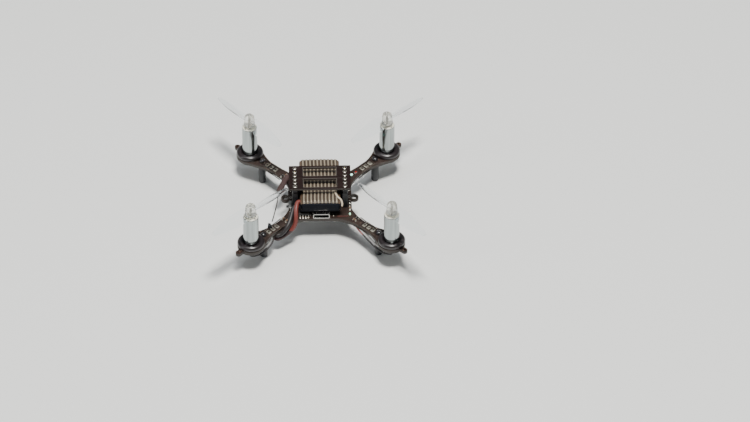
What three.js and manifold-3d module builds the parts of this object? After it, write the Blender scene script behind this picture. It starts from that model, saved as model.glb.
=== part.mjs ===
// A micro quadcopter drone with a 90 mm motor diagonal. An X-shaped circuit board is the frame: it
// carries four coreless motors in rubber grommets, a pouch battery under a slotted top deck, and
// clear two-blade propellers. Millimetres, +Z up, the front (the USB side) faces -Y, and the origin
// lies on the ground plane below the centre of the board.

import * as THREE from "three";
import { mergeVertices } from "three/addons/utils/BufferGeometryUtils.js";
import Module from "manifold-3d";

const wasm = await Module();
wasm.setup();

// ---------------------------------------------------------------- driving dimensions

const MOTOR_DIAGONAL = 90;
const MOTOR_AXIS = MOTOR_DIAGONAL / 2 / Math.SQRT2; // from the centre, along X and along Y
const FIT_GAP = 0.2; // left between pieces that rest on each other

// main board
const BOARD_TOP = 12.1;
const BOARD_THICKNESS = 1.6;
const BOARD_BOTTOM = BOARD_TOP - BOARD_THICKNESS;
const BODY_HALF_WIDTH = 14.5;
const BODY_HALF_LENGTH = 15.2;
const FRONT_EDGE_HALF = 7.6; // half length of the straight front and rear edges
const SIDE_SCALLOP = { x: 38.1, y: 0, radius: 25.1, from: 160.2, to: 116.3 };
const FRONT_SCALLOP = { x: 0, y: 41, radius: 26.9, from: -16.1, to: -73.6 };
const DISC_RADIUS = 6.22; // the round pad at the end of each arm
const DISC_ARC = { from: -63.7, to: 163.9 };
const MOTOR_HOLE_RADIUS = 4.6;
const TAB_REACH = 8.1; // from the motor axis to the tab's round end
const TAB_RADIUS = 1.3;
const TAB_HOLE_RADIUS = 0.5;
const EAR_X = 15.7;
const EAR_RADIUS = 2.1;
const EAR_HOLE_RADIUS = 1.35;
const EAR_VIA_X = 13.4;
const EAR_VIA_RADIUS = 0.4;

// top deck and the two header stacks below it
const DECK_TOP = 24.1;
const DECK_THICKNESS = 1;
const DECK_WIDTH = 28.2;
const DECK_LENGTH = 16.5;
const SLOT_HALF_WIDTH = 7.45;
const SLOT_NEAR = 1.1;
const SLOT_FAR = 6.9;
const PIN_PITCH = 2.54;
const PIN_COUNT = 6;
const HEADER_X = 11.43;
const HEADER_WIDTH = 2.5;
const HEADER_LENGTH = PIN_PITCH * PIN_COUNT;
const SOCKET_HEIGHT = 8.4;
const STRIP_HEIGHT = 2.3;
const PIN_SIZE = 0.64;
const SOCKET_HOLE = 1;
const DECK_HOLE_RADIUS = 0.55;
const PIN_BOTTOM = 15;
const PIN_TOP = DECK_TOP - 0.3;

// motors, grommets and propellers
const CAN_RADIUS = 3.5;
const CAN_BOTTOM = 8.5;
const CAN_TOP = 28.5;
const CAN_WALL = 0.3;
const MAGNET_RADIUS = 2.1;
const MAGNET_BOTTOM = 12;
const MAGNET_BORE_RADIUS = 0.7;
const SHAFT_RADIUS = 0.5;
const ROTOR_BOTTOM = 8.8;
const SHAFT_TOP = 34;
const COIL_RADIUS = 2.9;
const COIL_WALL = 0.4;
const COIL_BOTTOM = 10.4;
const COIL_TOP = 26.5;
const CAP_BOTTOM = 7.8;
const CAP_PLUG_TOP = 9.6;
const CAP_BEARING_FLOOR = 8.6;
const GROMMET_BORE_RADIUS = 3.6;
const COLLAR_RING_RADIUS = 4.85; // the round collar above the board: its ring, level and thickness
const COLLAR_LEVEL = 13.05;
const COLLAR_ROUND = 1.4;
const HUB_RADIUS = 2.6;
const HUB_WAIST_RADIUS = 2.3;
const HUB_BOTTOM = 29.5;
const HUB_TOP = 35.1;
const PROPELLER_RADIUS = 23;
const BLADE_LEVEL = 31.4;

// landing legs
const LEG_AXIS = 26.2; // from the centre, along X and along Y
const LEG_RADIUS = 1.75;
const LEG_FOOT_RADIUS = 0.9;
const LEG_TOP = BOARD_BOTTOM - FIT_GAP;
const LEG_BORE_RADIUS = 0.65;
const SCREW_RADIUS = 0.45;
const SCREW_BOTTOM = 7;
const SCREW_HEAD_RADIUS = 1.4;
const SCREW_HEAD_HEIGHT = 1.3;

// battery
const BATTERY_FRONT = -13.5;
const BATTERY_REAR = 17.9;
const BATTERY_HALF_WIDTH = 9.25;
const BATTERY_BOTTOM = 15;
const BATTERY_TOP = 20.9;
const SLEEVE_WALL = 0.35;
const RIB_COUNT = 10;
const RIB_PITCH = 1.66;
const RIB_HEIGHT = 0.35;
const RIB_CROWN = 0.35; // how far the outer ribs lie below the middle ones
const CELL_PLAY = 0.9; // between the sleeve's wall and the cell

// ---------------------------------------------------------------- shape helpers

const radians = THREE.MathUtils.degToRad;
const degrees = THREE.MathUtils.radToDeg;

function arcPoints(x, y, radius, from, to, steps) {
  return Array.from({ length: steps + 1 }, (_, i) => {
    const angle = radians(from + ((to - from) * i) / steps);
    return new THREE.Vector2(x + radius * Math.cos(angle), y + radius * Math.sin(angle));
  });
}

function circleHole(x, y, radius, sides) {
  return new THREE.Path(arcPoints(x, y, radius, 0, 360 * (1 - 1 / sides), sides - 1));
}

function rectanglePoints(x, y, width, height) {
  const [a, b] = [width / 2, height / 2];
  return [[-a, -b], [a, -b], [a, b], [-a, b]].map(([dx, dy]) => new THREE.Vector2(x + dx, y + dy));
}

function roundedRectangle(x, y, width, height, radius, steps = 3) {
  const [a, b] = [width / 2 - radius, height / 2 - radius];
  return [
    ...arcPoints(x + a, y + b, radius, 0, 90, steps),
    ...arcPoints(x - a, y + b, radius, 90, 180, steps),
    ...arcPoints(x - a, y - b, radius, 180, 270, steps),
    ...arcPoints(x + a, y - b, radius, 270, 360, steps),
  ];
}

// A flat plate: the outline and its holes, from z = bottom upwards.
function plate(outline, holes, bottom, thickness) {
  const shape = new THREE.Shape(outline);
  shape.holes = holes;
  const geometry = new THREE.ExtrudeGeometry(shape, { depth: thickness, bevelEnabled: false });
  return geometry.translate(0, 0, bottom);
}

// An outline drawn in X and Z, carried along Y from front to rear.
function alongY(outline, holes, front, rear) {
  const shape = new THREE.Shape(outline);
  shape.holes = holes;
  const geometry = new THREE.ExtrudeGeometry(shape, { depth: rear - front, bevelEnabled: false });
  return geometry.rotateX(Math.PI / 2).translate(0, rear, 0);
}

// A profile of [radius, z] pairs turned about Z. It runs outwards and up, then back to its start.
function turned(profile, segments) {
  const points = profile.map(([radius, z]) => new THREE.Vector2(radius, z));
  return new THREE.LatheGeometry(points, segments).rotateX(Math.PI / 2);
}

function box(low, high) {
  const size = high.map((value, i) => value - low[i]);
  const middle = high.map((value, i) => (value + low[i]) / 2);
  return new THREE.BoxGeometry(...size).translate(...middle);
}

function routeCurve(points) {
  return new THREE.CatmullRomCurve3(points.map((p) => new THREE.Vector3(...p)));
}

function tube(points, radius, steps, squash = 1, sides = 8) {
  const section = arcPoints(0, 0, radius, 0, 360 * (1 - 1 / sides), sides - 1);
  section.forEach((p) => (p.y *= squash));
  const settings = { steps, bevelEnabled: false, extrudePath: routeCurve(points) };
  return new THREE.ExtrudeGeometry(new THREE.Shape(section), settings);
}

// ---------------------------------------------------------------- joins and cuts

function solid(geometry) {
  const bare = geometry.clone();
  bare.deleteAttribute("normal");
  bare.deleteAttribute("uv");
  const merged = mergeVertices(bare, 1e-4);
  const index = merged.index.array;
  const triVerts = [];
  for (let i = 0; i < index.length; i += 3) {
    const [a, b, c] = [index[i], index[i + 1], index[i + 2]];
    if (a !== b && b !== c && c !== a) triVerts.push(a, b, c);
  }
  return new wasm.Manifold(
    new wasm.Mesh({
      numProp: 3,
      vertProperties: new Float32Array(merged.attributes.position.array),
      triVerts: new Uint32Array(triVerts),
    }),
  );
}

function geometryOf(manifold) {
  const mesh = manifold.getMesh();
  const geometry = new THREE.BufferGeometry();
  geometry.setAttribute("position", new THREE.BufferAttribute(mesh.vertProperties, 3));
  geometry.setIndex(new THREE.BufferAttribute(mesh.triVerts, 1));
  geometry.computeVertexNormals();
  return geometry;
}

function joined(...geometries) {
  return geometries.map(solid).reduce((whole, next) => whole.add(next));
}

// ---------------------------------------------------------------- materials

function finish(color, roughness, metalness = 0, opacity = 1) {
  const transparent = opacity < 1;
  return new THREE.MeshStandardMaterial({ color, roughness, metalness, opacity, transparent });
}

const materials = {
  board: finish(0x3a2f28, 0.4),
  deck: finish(0x2d2120, 0.35),
  rubber: finish(0x17171a, 0.35),
  blackPlastic: finish(0x131518, 0.45),
  glossBlack: finish(0x121114, 0.2),
  motorCan: finish(0xd9dcdc, 0.08, 1),
  motorCap: finish(0xe8e4d6, 0.4),
  steel: finish(0xb9bbbd, 0.25, 1),
  clearPlastic: finish(0xe9eef0, 0.08, 0, 0.35),
  batteryRibs: finish(0xb9ad95, 0.55),
  batteryCell: finish(0x8f949c, 0.35, 0.6),
  batteryEnd: finish(0x10141f, 0.4),
  redWire: finish(0xa8483c, 0.5),
  blackWire: finish(0x16171a, 0.5),
  whiteWire: finish(0xdedbd2, 0.5),
  pins: finish(0xc9b27a, 0.3, 1),
  connector: finish(0x2a2b2f, 0.5),
  shield: finish(0xc4c6c8, 0.3, 1),
  ledCyan: finish(0x9ff5e4, 0.3),
  ledRed: finish(0xd8402f, 0.3),
  ledGreen: finish(0x7fe0a0, 0.3),
};

const drone = new THREE.Group();

function addPiece(name, geometry, material, parent = drone) {
  const mesh = new THREE.Mesh(geometry, material);
  mesh.name = name;
  parent.add(mesh);
  return mesh;
}

// ---------------------------------------------------------------- main board

// One quarter of the board's edge, from the middle of the right side round to the rear edge.
function boardQuarter() {
  const earMeetsSide = degrees(Math.acos((BODY_HALF_WIDTH - EAR_X) / EAR_RADIUS));
  const tabHalfAngle = degrees(Math.asin(TAB_RADIUS / DISC_RADIUS));
  const tabEnd = MOTOR_AXIS + TAB_REACH / Math.SQRT2;
  const { x: sideX, y: sideY, radius: sideRadius, from: sideFrom, to: sideTo } = SIDE_SCALLOP;
  const { x: frontX, y: frontY, radius: frontRadius, from: frontFrom, to: frontTo } = FRONT_SCALLOP;
  return [
    ...arcPoints(EAR_X, 0, EAR_RADIUS, 0, earMeetsSide, 6),
    ...arcPoints(sideX, sideY, sideRadius, sideFrom, sideTo, 7),
    ...arcPoints(MOTOR_AXIS, MOTOR_AXIS, DISC_RADIUS, DISC_ARC.from, 45 - tabHalfAngle, 6),
    ...arcPoints(tabEnd, tabEnd, TAB_RADIUS, -45, 135, 6),
    ...arcPoints(MOTOR_AXIS, MOTOR_AXIS, DISC_RADIUS, 45 + tabHalfAngle, DISC_ARC.to, 6),
    ...arcPoints(frontX, frontY, frontRadius, frontFrom, frontTo, 9).slice(1),
    new THREE.Vector2(FRONT_EDGE_HALF, BODY_HALF_LENGTH),
  ];
}

function boardOutline() {
  const quarter = boardQuarter();
  const mirrored = (sx, sy) => quarter.map((p) => new THREE.Vector2(p.x * sx, p.y * sy));
  const outline = [
    ...quarter,
    ...mirrored(-1, 1).reverse(),
    ...mirrored(-1, -1),
    ...mirrored(1, -1).reverse(),
  ];
  return outline.filter((p, i) => p.distanceTo(outline[(i + 1) % outline.length]) > 1e-2);
}

const CORNERS = [
  { name: "front_right", sx: 1, sy: -1 },
  { name: "front_left", sx: -1, sy: -1 },
  { name: "rear_right", sx: 1, sy: 1 },
  { name: "rear_left", sx: -1, sy: 1 },
];

function boardHoles() {
  const tabEnd = MOTOR_AXIS + TAB_REACH / Math.SQRT2;
  const corners = CORNERS.flatMap(({ sx, sy }) => [
    circleHole(sx * MOTOR_AXIS, sy * MOTOR_AXIS, MOTOR_HOLE_RADIUS, 20),
    circleHole(sx * tabEnd, sy * tabEnd, TAB_HOLE_RADIUS, 8),
    circleHole(sx * LEG_AXIS, sy * LEG_AXIS, LEG_BORE_RADIUS, 8),
  ]);
  const ears = [-1, 1].flatMap((side) => [
    circleHole(side * EAR_X, 0, EAR_HOLE_RADIUS, 12),
    circleHole(side * EAR_VIA_X, 0, EAR_VIA_RADIUS, 8),
  ]);
  return [...corners, ...ears];
}

addPiece(
  "main_board",
  plate(boardOutline(), boardHoles(), BOARD_BOTTOM, BOARD_THICKNESS),
  materials.board,
);

// ---------------------------------------------------------------- top deck and headers

const DECK_BOTTOM = DECK_TOP - DECK_THICKNESS;
const pinRows = Array.from({ length: PIN_COUNT }, (_, i) => (i - (PIN_COUNT - 1) / 2) * PIN_PITCH);

function deckHoles() {
  const slotMiddle = (SLOT_NEAR + SLOT_FAR) / 2;
  const slots = [-1, 1].map((side) => {
    const points = rectanglePoints(0, side * slotMiddle, 2 * SLOT_HALF_WIDTH, SLOT_FAR - SLOT_NEAR);
    return new THREE.Path(points);
  });
  const pins = [-1, 1].flatMap((side) =>
    pinRows.map((y) => circleHole(side * HEADER_X, y, DECK_HOLE_RADIUS, 8)),
  );
  return [...slots, ...pins];
}

addPiece(
  "top_deck",
  plate(rectanglePoints(0, 0, DECK_WIDTH, DECK_LENGTH), deckHoles(), DECK_BOTTOM, DECK_THICKNESS),
  materials.deck,
);

for (const [side, sx] of [["left", -1], ["right", 1]]) {
  const x = sx * HEADER_X;
  const holes = pinRows.map((y) => new THREE.Path(rectanglePoints(x, y, SOCKET_HOLE, SOCKET_HOLE)));
  const outline = rectanglePoints(x, 0, HEADER_WIDTH, HEADER_LENGTH);
  const socketBottom = BOARD_TOP + FIT_GAP / 2;
  const socket = plate(outline, holes, socketBottom, SOCKET_HEIGHT);
  addPiece(`socket_header_${side}`, socket, materials.blackPlastic);

  const strip = plate(outline, [], DECK_BOTTOM - FIT_GAP / 2 - STRIP_HEIGHT, STRIP_HEIGHT);
  const pins = pinRows.map((y) => {
    const half = PIN_SIZE / 2;
    return box([x - half, y - half, PIN_BOTTOM], [x + half, y + half, PIN_TOP]);
  });
  addPiece(`pin_header_${side}`, geometryOf(joined(strip, ...pins)), materials.pins);
}

// ---------------------------------------------------------------- motors and grommets

const FLANGE_BOTTOM = 9.2;
const FLANGE_RADIUS = 5.3;
const GROOVE_RADIUS = 4.4;

function grommet() {
  const above = BOARD_TOP + FIT_GAP;
  const below = BOARD_BOTTOM - FIT_GAP;
  const from = degrees(Math.asin((above - COLLAR_LEVEL) / COLLAR_ROUND));
  const to = degrees(Math.acos((GROMMET_BORE_RADIUS - COLLAR_RING_RADIUS) / COLLAR_ROUND));
  const collar = arcPoints(COLLAR_RING_RADIUS, COLLAR_LEVEL, COLLAR_ROUND, from, to, 8);
  const profile = [
    [GROMMET_BORE_RADIUS, FLANGE_BOTTOM],
    [FLANGE_RADIUS - 0.3, FLANGE_BOTTOM],
    [FLANGE_RADIUS, FLANGE_BOTTOM + 0.3],
    [FLANGE_RADIUS, below],
    [GROOVE_RADIUS, below],
    [GROOVE_RADIUS, above],
    ...collar.map((p) => [p.x, p.y]),
    [GROMMET_BORE_RADIUS, FLANGE_BOTTOM],
  ];
  return turned(profile, 24);
}

// The can and the magnet that hangs from its closed top: one fixed part of revolution.
function motorCan() {
  const inner = CAN_RADIUS - CAN_WALL;
  const ceiling = CAN_TOP - 0.5;
  return turned(
    [
      [inner, CAN_BOTTOM],
      [CAN_RADIUS, CAN_BOTTOM],
      [CAN_RADIUS, CAN_TOP - 0.4],
      [CAN_RADIUS - 0.4, CAN_TOP],
      [MAGNET_BORE_RADIUS, CAN_TOP],
      [MAGNET_BORE_RADIUS, MAGNET_BOTTOM],
      [MAGNET_RADIUS, MAGNET_BOTTOM],
      [MAGNET_RADIUS, ceiling],
      [inner, ceiling],
      [inner, CAN_BOTTOM],
    ],
    20,
  );
}

// The plastic plug that closes the can from below, with a blind bearing for the shaft.
function motorEndCap() {
  const plugRadius = CAN_RADIUS - CAN_WALL - 0.1;
  const rimTop = CAN_BOTTOM - FIT_GAP;
  return turned(
    [
      [0, CAP_BOTTOM],
      [CAN_RADIUS - 0.1, CAP_BOTTOM],
      [CAN_RADIUS - 0.1, rimTop],
      [plugRadius, rimTop],
      [plugRadius, CAP_PLUG_TOP],
      [MAGNET_BORE_RADIUS, CAP_PLUG_TOP],
      [MAGNET_BORE_RADIUS, CAP_BEARING_FLOOR],
      [0, CAP_BEARING_FLOOR],
    ],
    16,
  );
}

// The shaft with its cup-shaped coil, which runs round the magnet inside the can.
function motorRotor() {
  const cupFloor = COIL_BOTTOM + 0.6;
  return turned(
    [
      [0, ROTOR_BOTTOM],
      [SHAFT_RADIUS, ROTOR_BOTTOM],
      [SHAFT_RADIUS, COIL_BOTTOM],
      [COIL_RADIUS, COIL_BOTTOM],
      [COIL_RADIUS, COIL_TOP],
      [COIL_RADIUS - COIL_WALL, COIL_TOP],
      [COIL_RADIUS - COIL_WALL, cupFloor],
      [SHAFT_RADIUS, cupFloor],
      [SHAFT_RADIUS, SHAFT_TOP],
      [0, SHAFT_TOP],
    ],
    12,
  );
}

// ---------------------------------------------------------------- propellers

const BLADE_ROOT = 1.4;
const BLADE_STATIONS = 9;

// The blade at a fraction of its length: chord, thickness and the pitch angle in degrees.
function bladeStation(fraction) {
  const swell = Math.sin(Math.PI * Math.min(1, 0.16 + 0.84 * fraction) ** 0.8);
  const roundTip = Math.sqrt(Math.max(0, 1 - Math.max(0, (fraction - 0.82) / 0.2) ** 2));
  return {
    chord: (2.2 + 4.4 * swell) * (0.25 + 0.75 * roundTip),
    thickness: 1 - 0.6 * fraction,
    pitch: 34 - 22 * fraction,
  };
}

// Rings of equally many points, skinned into one closed body.
function loft(rings) {
  const count = rings[0].length;
  const positions = rings.flat(2);
  const index = [];
  for (let ring = 0; ring < rings.length - 1; ring += 1) {
    for (let i = 0; i < count; i += 1) {
      const a = ring * count + i;
      const b = ring * count + ((i + 1) % count);
      index.push(a, b, b + count, a, b + count, a + count);
    }
  }
  const last = (rings.length - 1) * count;
  for (let i = 1; i < count - 1; i += 1) {
    index.push(0, i + 1, i, last, last + i, last + i + 1);
  }
  const geometry = new THREE.BufferGeometry();
  geometry.setAttribute("position", new THREE.Float32BufferAttribute(positions, 3));
  geometry.setIndex(index);
  return geometry;
}

// One blade along +X. With spin = 1 the raised leading edge faces +Y; -1 is its mirror image.
function blade(spin) {
  const rings = Array.from({ length: BLADE_STATIONS }, (_, station) => {
    const fraction = station / (BLADE_STATIONS - 1);
    const { chord, thickness, pitch } = bladeStation(fraction);
    const x = BLADE_ROOT + (PROPELLER_RADIUS - BLADE_ROOT) * fraction;
    const ring = [0, 45, 90, 135, 180, 225, 270, 315].map((degrees) => {
      const along = (chord / 2) * Math.cos(radians(degrees));
      const camber = 0.06 * chord * (1 - (2 * along / chord) ** 2);
      const across = (thickness / 2) * Math.sin(radians(degrees)) + camber;
      const [c, s] = [Math.cos(radians(pitch)), Math.sin(radians(pitch))];
      return [x, spin * (along * c - across * s), BLADE_LEVEL + along * s + across * c];
    });
    return spin > 0 ? ring : ring.reverse();
  });
  return loft(rings);
}

function propeller(spin) {
  const boreRadius = SHAFT_RADIUS + 0.1;
  const hub = turned(
    [
      [boreRadius, HUB_BOTTOM],
      [HUB_RADIUS, HUB_BOTTOM],
      [HUB_RADIUS, HUB_BOTTOM + 1.2],
      [HUB_WAIST_RADIUS, HUB_TOP - 2],
      [HUB_WAIST_RADIUS - 0.15, HUB_TOP - 1],
      [HUB_WAIST_RADIUS - 0.7, HUB_TOP - 0.3],
      [HUB_WAIST_RADIUS - 1.5, HUB_TOP],
      [0, HUB_TOP],
      [0, SHAFT_TOP + 0.2],
      [boreRadius, SHAFT_TOP + 0.2],
      [boreRadius, HUB_BOTTOM],
    ],
    16,
  );
  const opposite = blade(spin).rotateZ(Math.PI);
  const boreBlank = turned(
    [
      [0, HUB_BOTTOM - 1],
      [boreRadius, HUB_BOTTOM - 1],
      [boreRadius, SHAFT_TOP + 0.2],
      [0, SHAFT_TOP + 0.2],
    ],
    16,
  );
  return geometryOf(joined(hub, blade(spin), opposite).subtract(solid(boreBlank)));
}

// ---------------------------------------------------------------- landing legs

function landingLeg() {
  const boreBottom = 6.6;
  return turned(
    [
      [0, 0],
      [LEG_FOOT_RADIUS, 0],
      [LEG_RADIUS - 0.2, 0.4],
      [LEG_RADIUS, 1.1],
      [LEG_RADIUS, LEG_TOP],
      [LEG_BORE_RADIUS, LEG_TOP],
      [LEG_BORE_RADIUS, boreBottom],
      [0, boreBottom],
    ],
    12,
  );
}

// The pin that holds the leg: a thin stem through the arm and a round head on top.
function legScrew() {
  const headBottom = BOARD_TOP + FIT_GAP;
  const dome = [0, 30, 60].map((angle) => [
    SCREW_HEAD_RADIUS * Math.cos(radians(angle)),
    headBottom + SCREW_HEAD_HEIGHT * Math.sin(radians(angle)),
  ]);
  return turned(
    [
      [0, SCREW_BOTTOM],
      [SCREW_RADIUS, SCREW_BOTTOM],
      [SCREW_RADIUS, headBottom],
      ...dome,
      [0, headBottom + SCREW_HEAD_HEIGHT],
    ],
    12,
  );
}

// ---------------------------------------------------------------- motor wires

const MOTOR_WIRE_RADIUS = 0.4;
const WIRE_END = 7.6;

// Routes in the corner where X and Y are both positive: along the arm's underside, round the leg,
// and up into the motor's end cap. The inner wire stays nearer to the arm.
const INNER_ROUTE = [
  [17.2, 18.2, 10],
  [19.1, 20.4, 9.3],
  [21, 22.8, 8.6],
  [22.6, 25.3, 8.2],
  [24.2, 27.8, 7.8],
  [27.9, 30.9, 7],
  [30.4, 31.8, 6.8],
  [30.9, 31.8, WIRE_END],
];
const OUTER_ROUTE = [
  [16, 18.2, 10],
  [17.7, 20.6, 9],
  [20.8, 24.2, 7.5],
  [24, 28.6, 6.6],
  [27.6, 31.9, 5.9],
  [31.2, 33.2, 5.8],
  [32.6, 32.6, 6.5],
  [32.7, 31.8, WIRE_END],
];
// The front left wires start further out, past the battery leads.
const INNER_SHORT_ROUTE = [[23, 22.8, 10], [23, 25, 8.7], ...INNER_ROUTE.slice(4)];
const OUTER_SHORT_ROUTE = [[21.7, 23.4, 10], [21.9, 25.6, 8.2], ...OUTER_ROUTE.slice(3)];

// ---------------------------------------------------------------- the four corners

// The angle that each propeller is parked at, and the way its blades are pitched.
const PROPELLER_ANGLE = { front_right: -52, rear_left: -52, front_left: 43, rear_right: 43 };
const PROPELLER_SPIN = { front_right: 1, rear_left: 1, front_left: -1, rear_right: -1 };

for (const { name, sx, sy } of CORNERS) {
  const motor = new THREE.Group();
  motor.position.set(sx * MOTOR_AXIS, sy * MOTOR_AXIS, 0);
  drone.add(motor);
  addPiece(`grommet_${name}`, grommet(), materials.rubber, motor);
  addPiece(`motor_can_${name}`, motorCan(), materials.motorCan, motor);
  addPiece(`motor_end_cap_${name}`, motorEndCap(), materials.motorCap, motor);

  const spinning = new THREE.Group();
  spinning.rotation.z = radians(PROPELLER_ANGLE[name]);
  motor.add(spinning);
  addPiece(`motor_rotor_${name}`, motorRotor(), materials.steel, spinning);
  addPiece(
    `propeller_${name}`,
    propeller(PROPELLER_SPIN[name]),
    materials.clearPlastic,
    spinning,
  );

  const leg = new THREE.Group();
  leg.position.set(sx * LEG_AXIS, sy * LEG_AXIS, 0);
  drone.add(leg);
  addPiece(`landing_leg_${name}`, landingLeg(), materials.blackPlastic, leg);
  addPiece(`leg_screw_${name}`, legScrew(), materials.glossBlack, leg);

  const short = name === "front_left";
  const inner = short ? INNER_SHORT_ROUTE : INNER_ROUTE;
  const outer = short ? OUTER_SHORT_ROUTE : OUTER_ROUTE;
  const here = (route) => route.map(([x, y, z]) => [sx * x, sy * y, z]);
  const wires = [
    [`motor_wire_inner_${name}`, inner, materials.whiteWire],
    [`motor_wire_outer_${name}`, outer, materials.blackWire],
  ];
  for (const [wireName, route, material] of wires) {
    addPiece(wireName, tube(here(route), MOTOR_WIRE_RADIUS, 14), material);
  }
}

// ---------------------------------------------------------------- battery

// The sleeve's outline in X and Z: round lower edges, and ribs along a slightly crowned top.
function sleeveOutline() {
  const side = BATTERY_HALF_WIDTH;
  const cornerRadius = 1.2;
  const shoulderRadius = 1.6;
  const ribBase = BATTERY_TOP - RIB_HEIGHT;
  const crown = (x) => ribBase - RIB_CROWN * (x / side) ** 2;
  const ribs = Array.from({ length: RIB_COUNT }, (_, i) => {
    const x = (i - (RIB_COUNT - 1) / 2) * RIB_PITCH;
    const corners = [[-0.5, 0], [-0.3, RIB_HEIGHT], [0.3, RIB_HEIGHT], [0.5, 0]];
    return corners.map(([dx, dz]) => new THREE.Vector2(-(x + dx), crown(x) + dz));
  }).flat();
  const shoulderZ = crown(side) - shoulderRadius;
  const shoulderX = side - shoulderRadius;
  const footZ = BATTERY_BOTTOM + cornerRadius;
  const footX = side - cornerRadius;
  return [
    ...arcPoints(-footX, footZ, cornerRadius, 180, 270, 3),
    ...arcPoints(footX, footZ, cornerRadius, 270, 360, 3),
    ...arcPoints(shoulderX, shoulderZ, shoulderRadius, 0, 60, 3),
    ...ribs,
    ...arcPoints(-shoulderX, shoulderZ, shoulderRadius, 120, 180, 3),
  ];
}

// The space inside the sleeve, and the cell that fills it.
function cellOutline(gap) {
  const width = 2 * (BATTERY_HALF_WIDTH - SLEEVE_WALL - gap);
  const low = BATTERY_BOTTOM + SLEEVE_WALL + gap;
  const high = BATTERY_TOP - RIB_HEIGHT - RIB_CROWN - SLEEVE_WALL - gap;
  return roundedRectangle(0, (low + high) / 2, width, high - low, 1.2 - gap);
}

// A window in the sleeve's left wall, open at the front, lets the two leads out.
const LEAD_WINDOW = { low: 15.1, high: 19.8, rear: -8.9 };

function batterySleeve() {
  const inner = new THREE.Path(cellOutline(0));
  const shell = alongY(sleeveOutline(), [inner], BATTERY_FRONT, BATTERY_REAR - 0.6);
  const windowLow = [-BATTERY_HALF_WIDTH - 1, BATTERY_FRONT - 1, LEAD_WINDOW.low];
  const windowHigh = [-BATTERY_HALF_WIDTH + 0.7, LEAD_WINDOW.rear, LEAD_WINDOW.high];
  return geometryOf(solid(shell).subtract(solid(box(windowLow, windowHigh))));
}

function batteryCell() {
  const shape = new THREE.Shape(cellOutline(CELL_PLAY));
  const edge = 0.7;
  const front = BATTERY_FRONT + 0.6;
  const settings = {
    depth: BATTERY_REAR - front - 2 * edge,
    bevelSize: edge,
    bevelThickness: edge,
    bevelSegments: 1,
  };
  const geometry = new THREE.ExtrudeGeometry(shape, settings);
  return geometry.rotateX(Math.PI / 2).translate(0, BATTERY_REAR - edge, 0);
}

function batteryEnd() {
  return alongY(cellOutline(0.25), [], BATTERY_FRONT - 0.5, BATTERY_FRONT + 0.4);
}

addPiece("battery_sleeve", batterySleeve(), materials.batteryRibs);
addPiece("battery_cell", batteryCell(), materials.batteryCell);
addPiece("battery_end", batteryEnd(), materials.batteryEnd);

// ---------------------------------------------------------------- battery leads and connector

// The leads drop past the front edge, the black one above the red, turn back under the arm and run
// to the connector, which lies below the board with its pieces made along +X of a turned group.
const LEAD_RADIUS = 1;
const RED_LEAD = [
  [-9.2, -10.4, 18.5],
  [-10.4, -11.3, 18.5],
  [-11.1, -14.2, 17.5],
  [-11.2, -16.8, 15],
  [-11.6, -18.2, 12],
  [-13, -19.2, 9.6],
  [-15.1, -20.2, 8],
  [-17.6, -21.9, 7.3],
  [-19.6, -22.8, 7],
  [-20.9, -21.7, 6.9],
  [-20.2, -19.6, 7.1],
  [-18.4, -17.9, 7.9],
];
const BLACK_LEAD = [
  [-9.2, -10.4, 16.2],
  [-10.6, -10.9, 16.2],
  [-12.2, -12.2, 16.2],
  [-13.1, -15.2, 15.2],
  [-13.9, -18, 14],
  [-15, -20.3, 12.6],
  [-16.4, -21.8, 11],
  [-18.3, -22.7, 9.5],
  [-20.2, -22.8, 9.1],
  [-21, -21.5, 9.1],
  [-19.4, -20.1, 9.1],
  [-17.1, -19.2, 9],
];
const CONNECTOR_JOINT = { x: -13.2, y: -12 };
const CONNECTOR_ANGLE = 60;
const PLUG = { length: 4.2, width: 4.6, low: 7.3, high: 10.1 };
const SOCKET = { length: 2.8, width: 4.8, low: 6.9, high: 10.35 };
const CONNECTOR_LEVEL = 8.7;

const connector = new THREE.Group();
connector.position.set(CONNECTOR_JOINT.x, CONNECTOR_JOINT.y, 0);
connector.rotation.z = radians(CONNECTOR_ANGLE);
drone.add(connector);

const plugBody = box(
  [-PLUG.length - 0.15, -PLUG.width / 2, PLUG.low],
  [-0.15, PLUG.width / 2, PLUG.high],
);
addPiece("battery_plug", plugBody, materials.connector, connector);

const socketBody = box(
  [0.15, -SOCKET.width / 2, SOCKET.low],
  [0.15 + SOCKET.length, SOCKET.width / 2, SOCKET.high],
);
addPiece("battery_socket", socketBody, materials.connector, connector);

// Both leads end at the plug's outer face, side by side.
function plugEntry(offset, distance) {
  const along = radians(CONNECTOR_ANGLE);
  const back = PLUG.length + 0.15 + distance;
  return [
    CONNECTOR_JOINT.x - back * Math.cos(along) - offset * Math.sin(along),
    CONNECTOR_JOINT.y - back * Math.sin(along) + offset * Math.cos(along),
    CONNECTOR_LEVEL,
  ];
}

const LEAD_OFFSET = 1.15;
const redRoute = [...RED_LEAD, plugEntry(LEAD_OFFSET, 1.4), plugEntry(LEAD_OFFSET, FIT_GAP)];
const blackRoute = [...BLACK_LEAD, plugEntry(-LEAD_OFFSET, 1.4), plugEntry(-LEAD_OFFSET, FIT_GAP)];
addPiece("battery_lead_red", tube(redRoute, LEAD_RADIUS, 34), materials.redWire);
addPiece("battery_lead_black", tube(blackRoute, LEAD_RADIUS, 34), materials.blackWire);

// ---------------------------------------------------------------- USB socket

const USB = { x: 0.4, width: 7.5, low: 12.2, high: 14.7, front: -15.2, rear: -9.8, wall: 0.3 };
const TONGUE = { halfWidth: 2.6, low: 13.5, high: 14, front: -14.4, root: -11.4 };

function usbOutline(inset) {
  const middle = (USB.low + USB.high) / 2;
  const width = USB.width - 2 * inset;
  return roundedRectangle(USB.x, middle, width, USB.high - USB.low - 2 * inset, 0.75 - inset);
}

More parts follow.
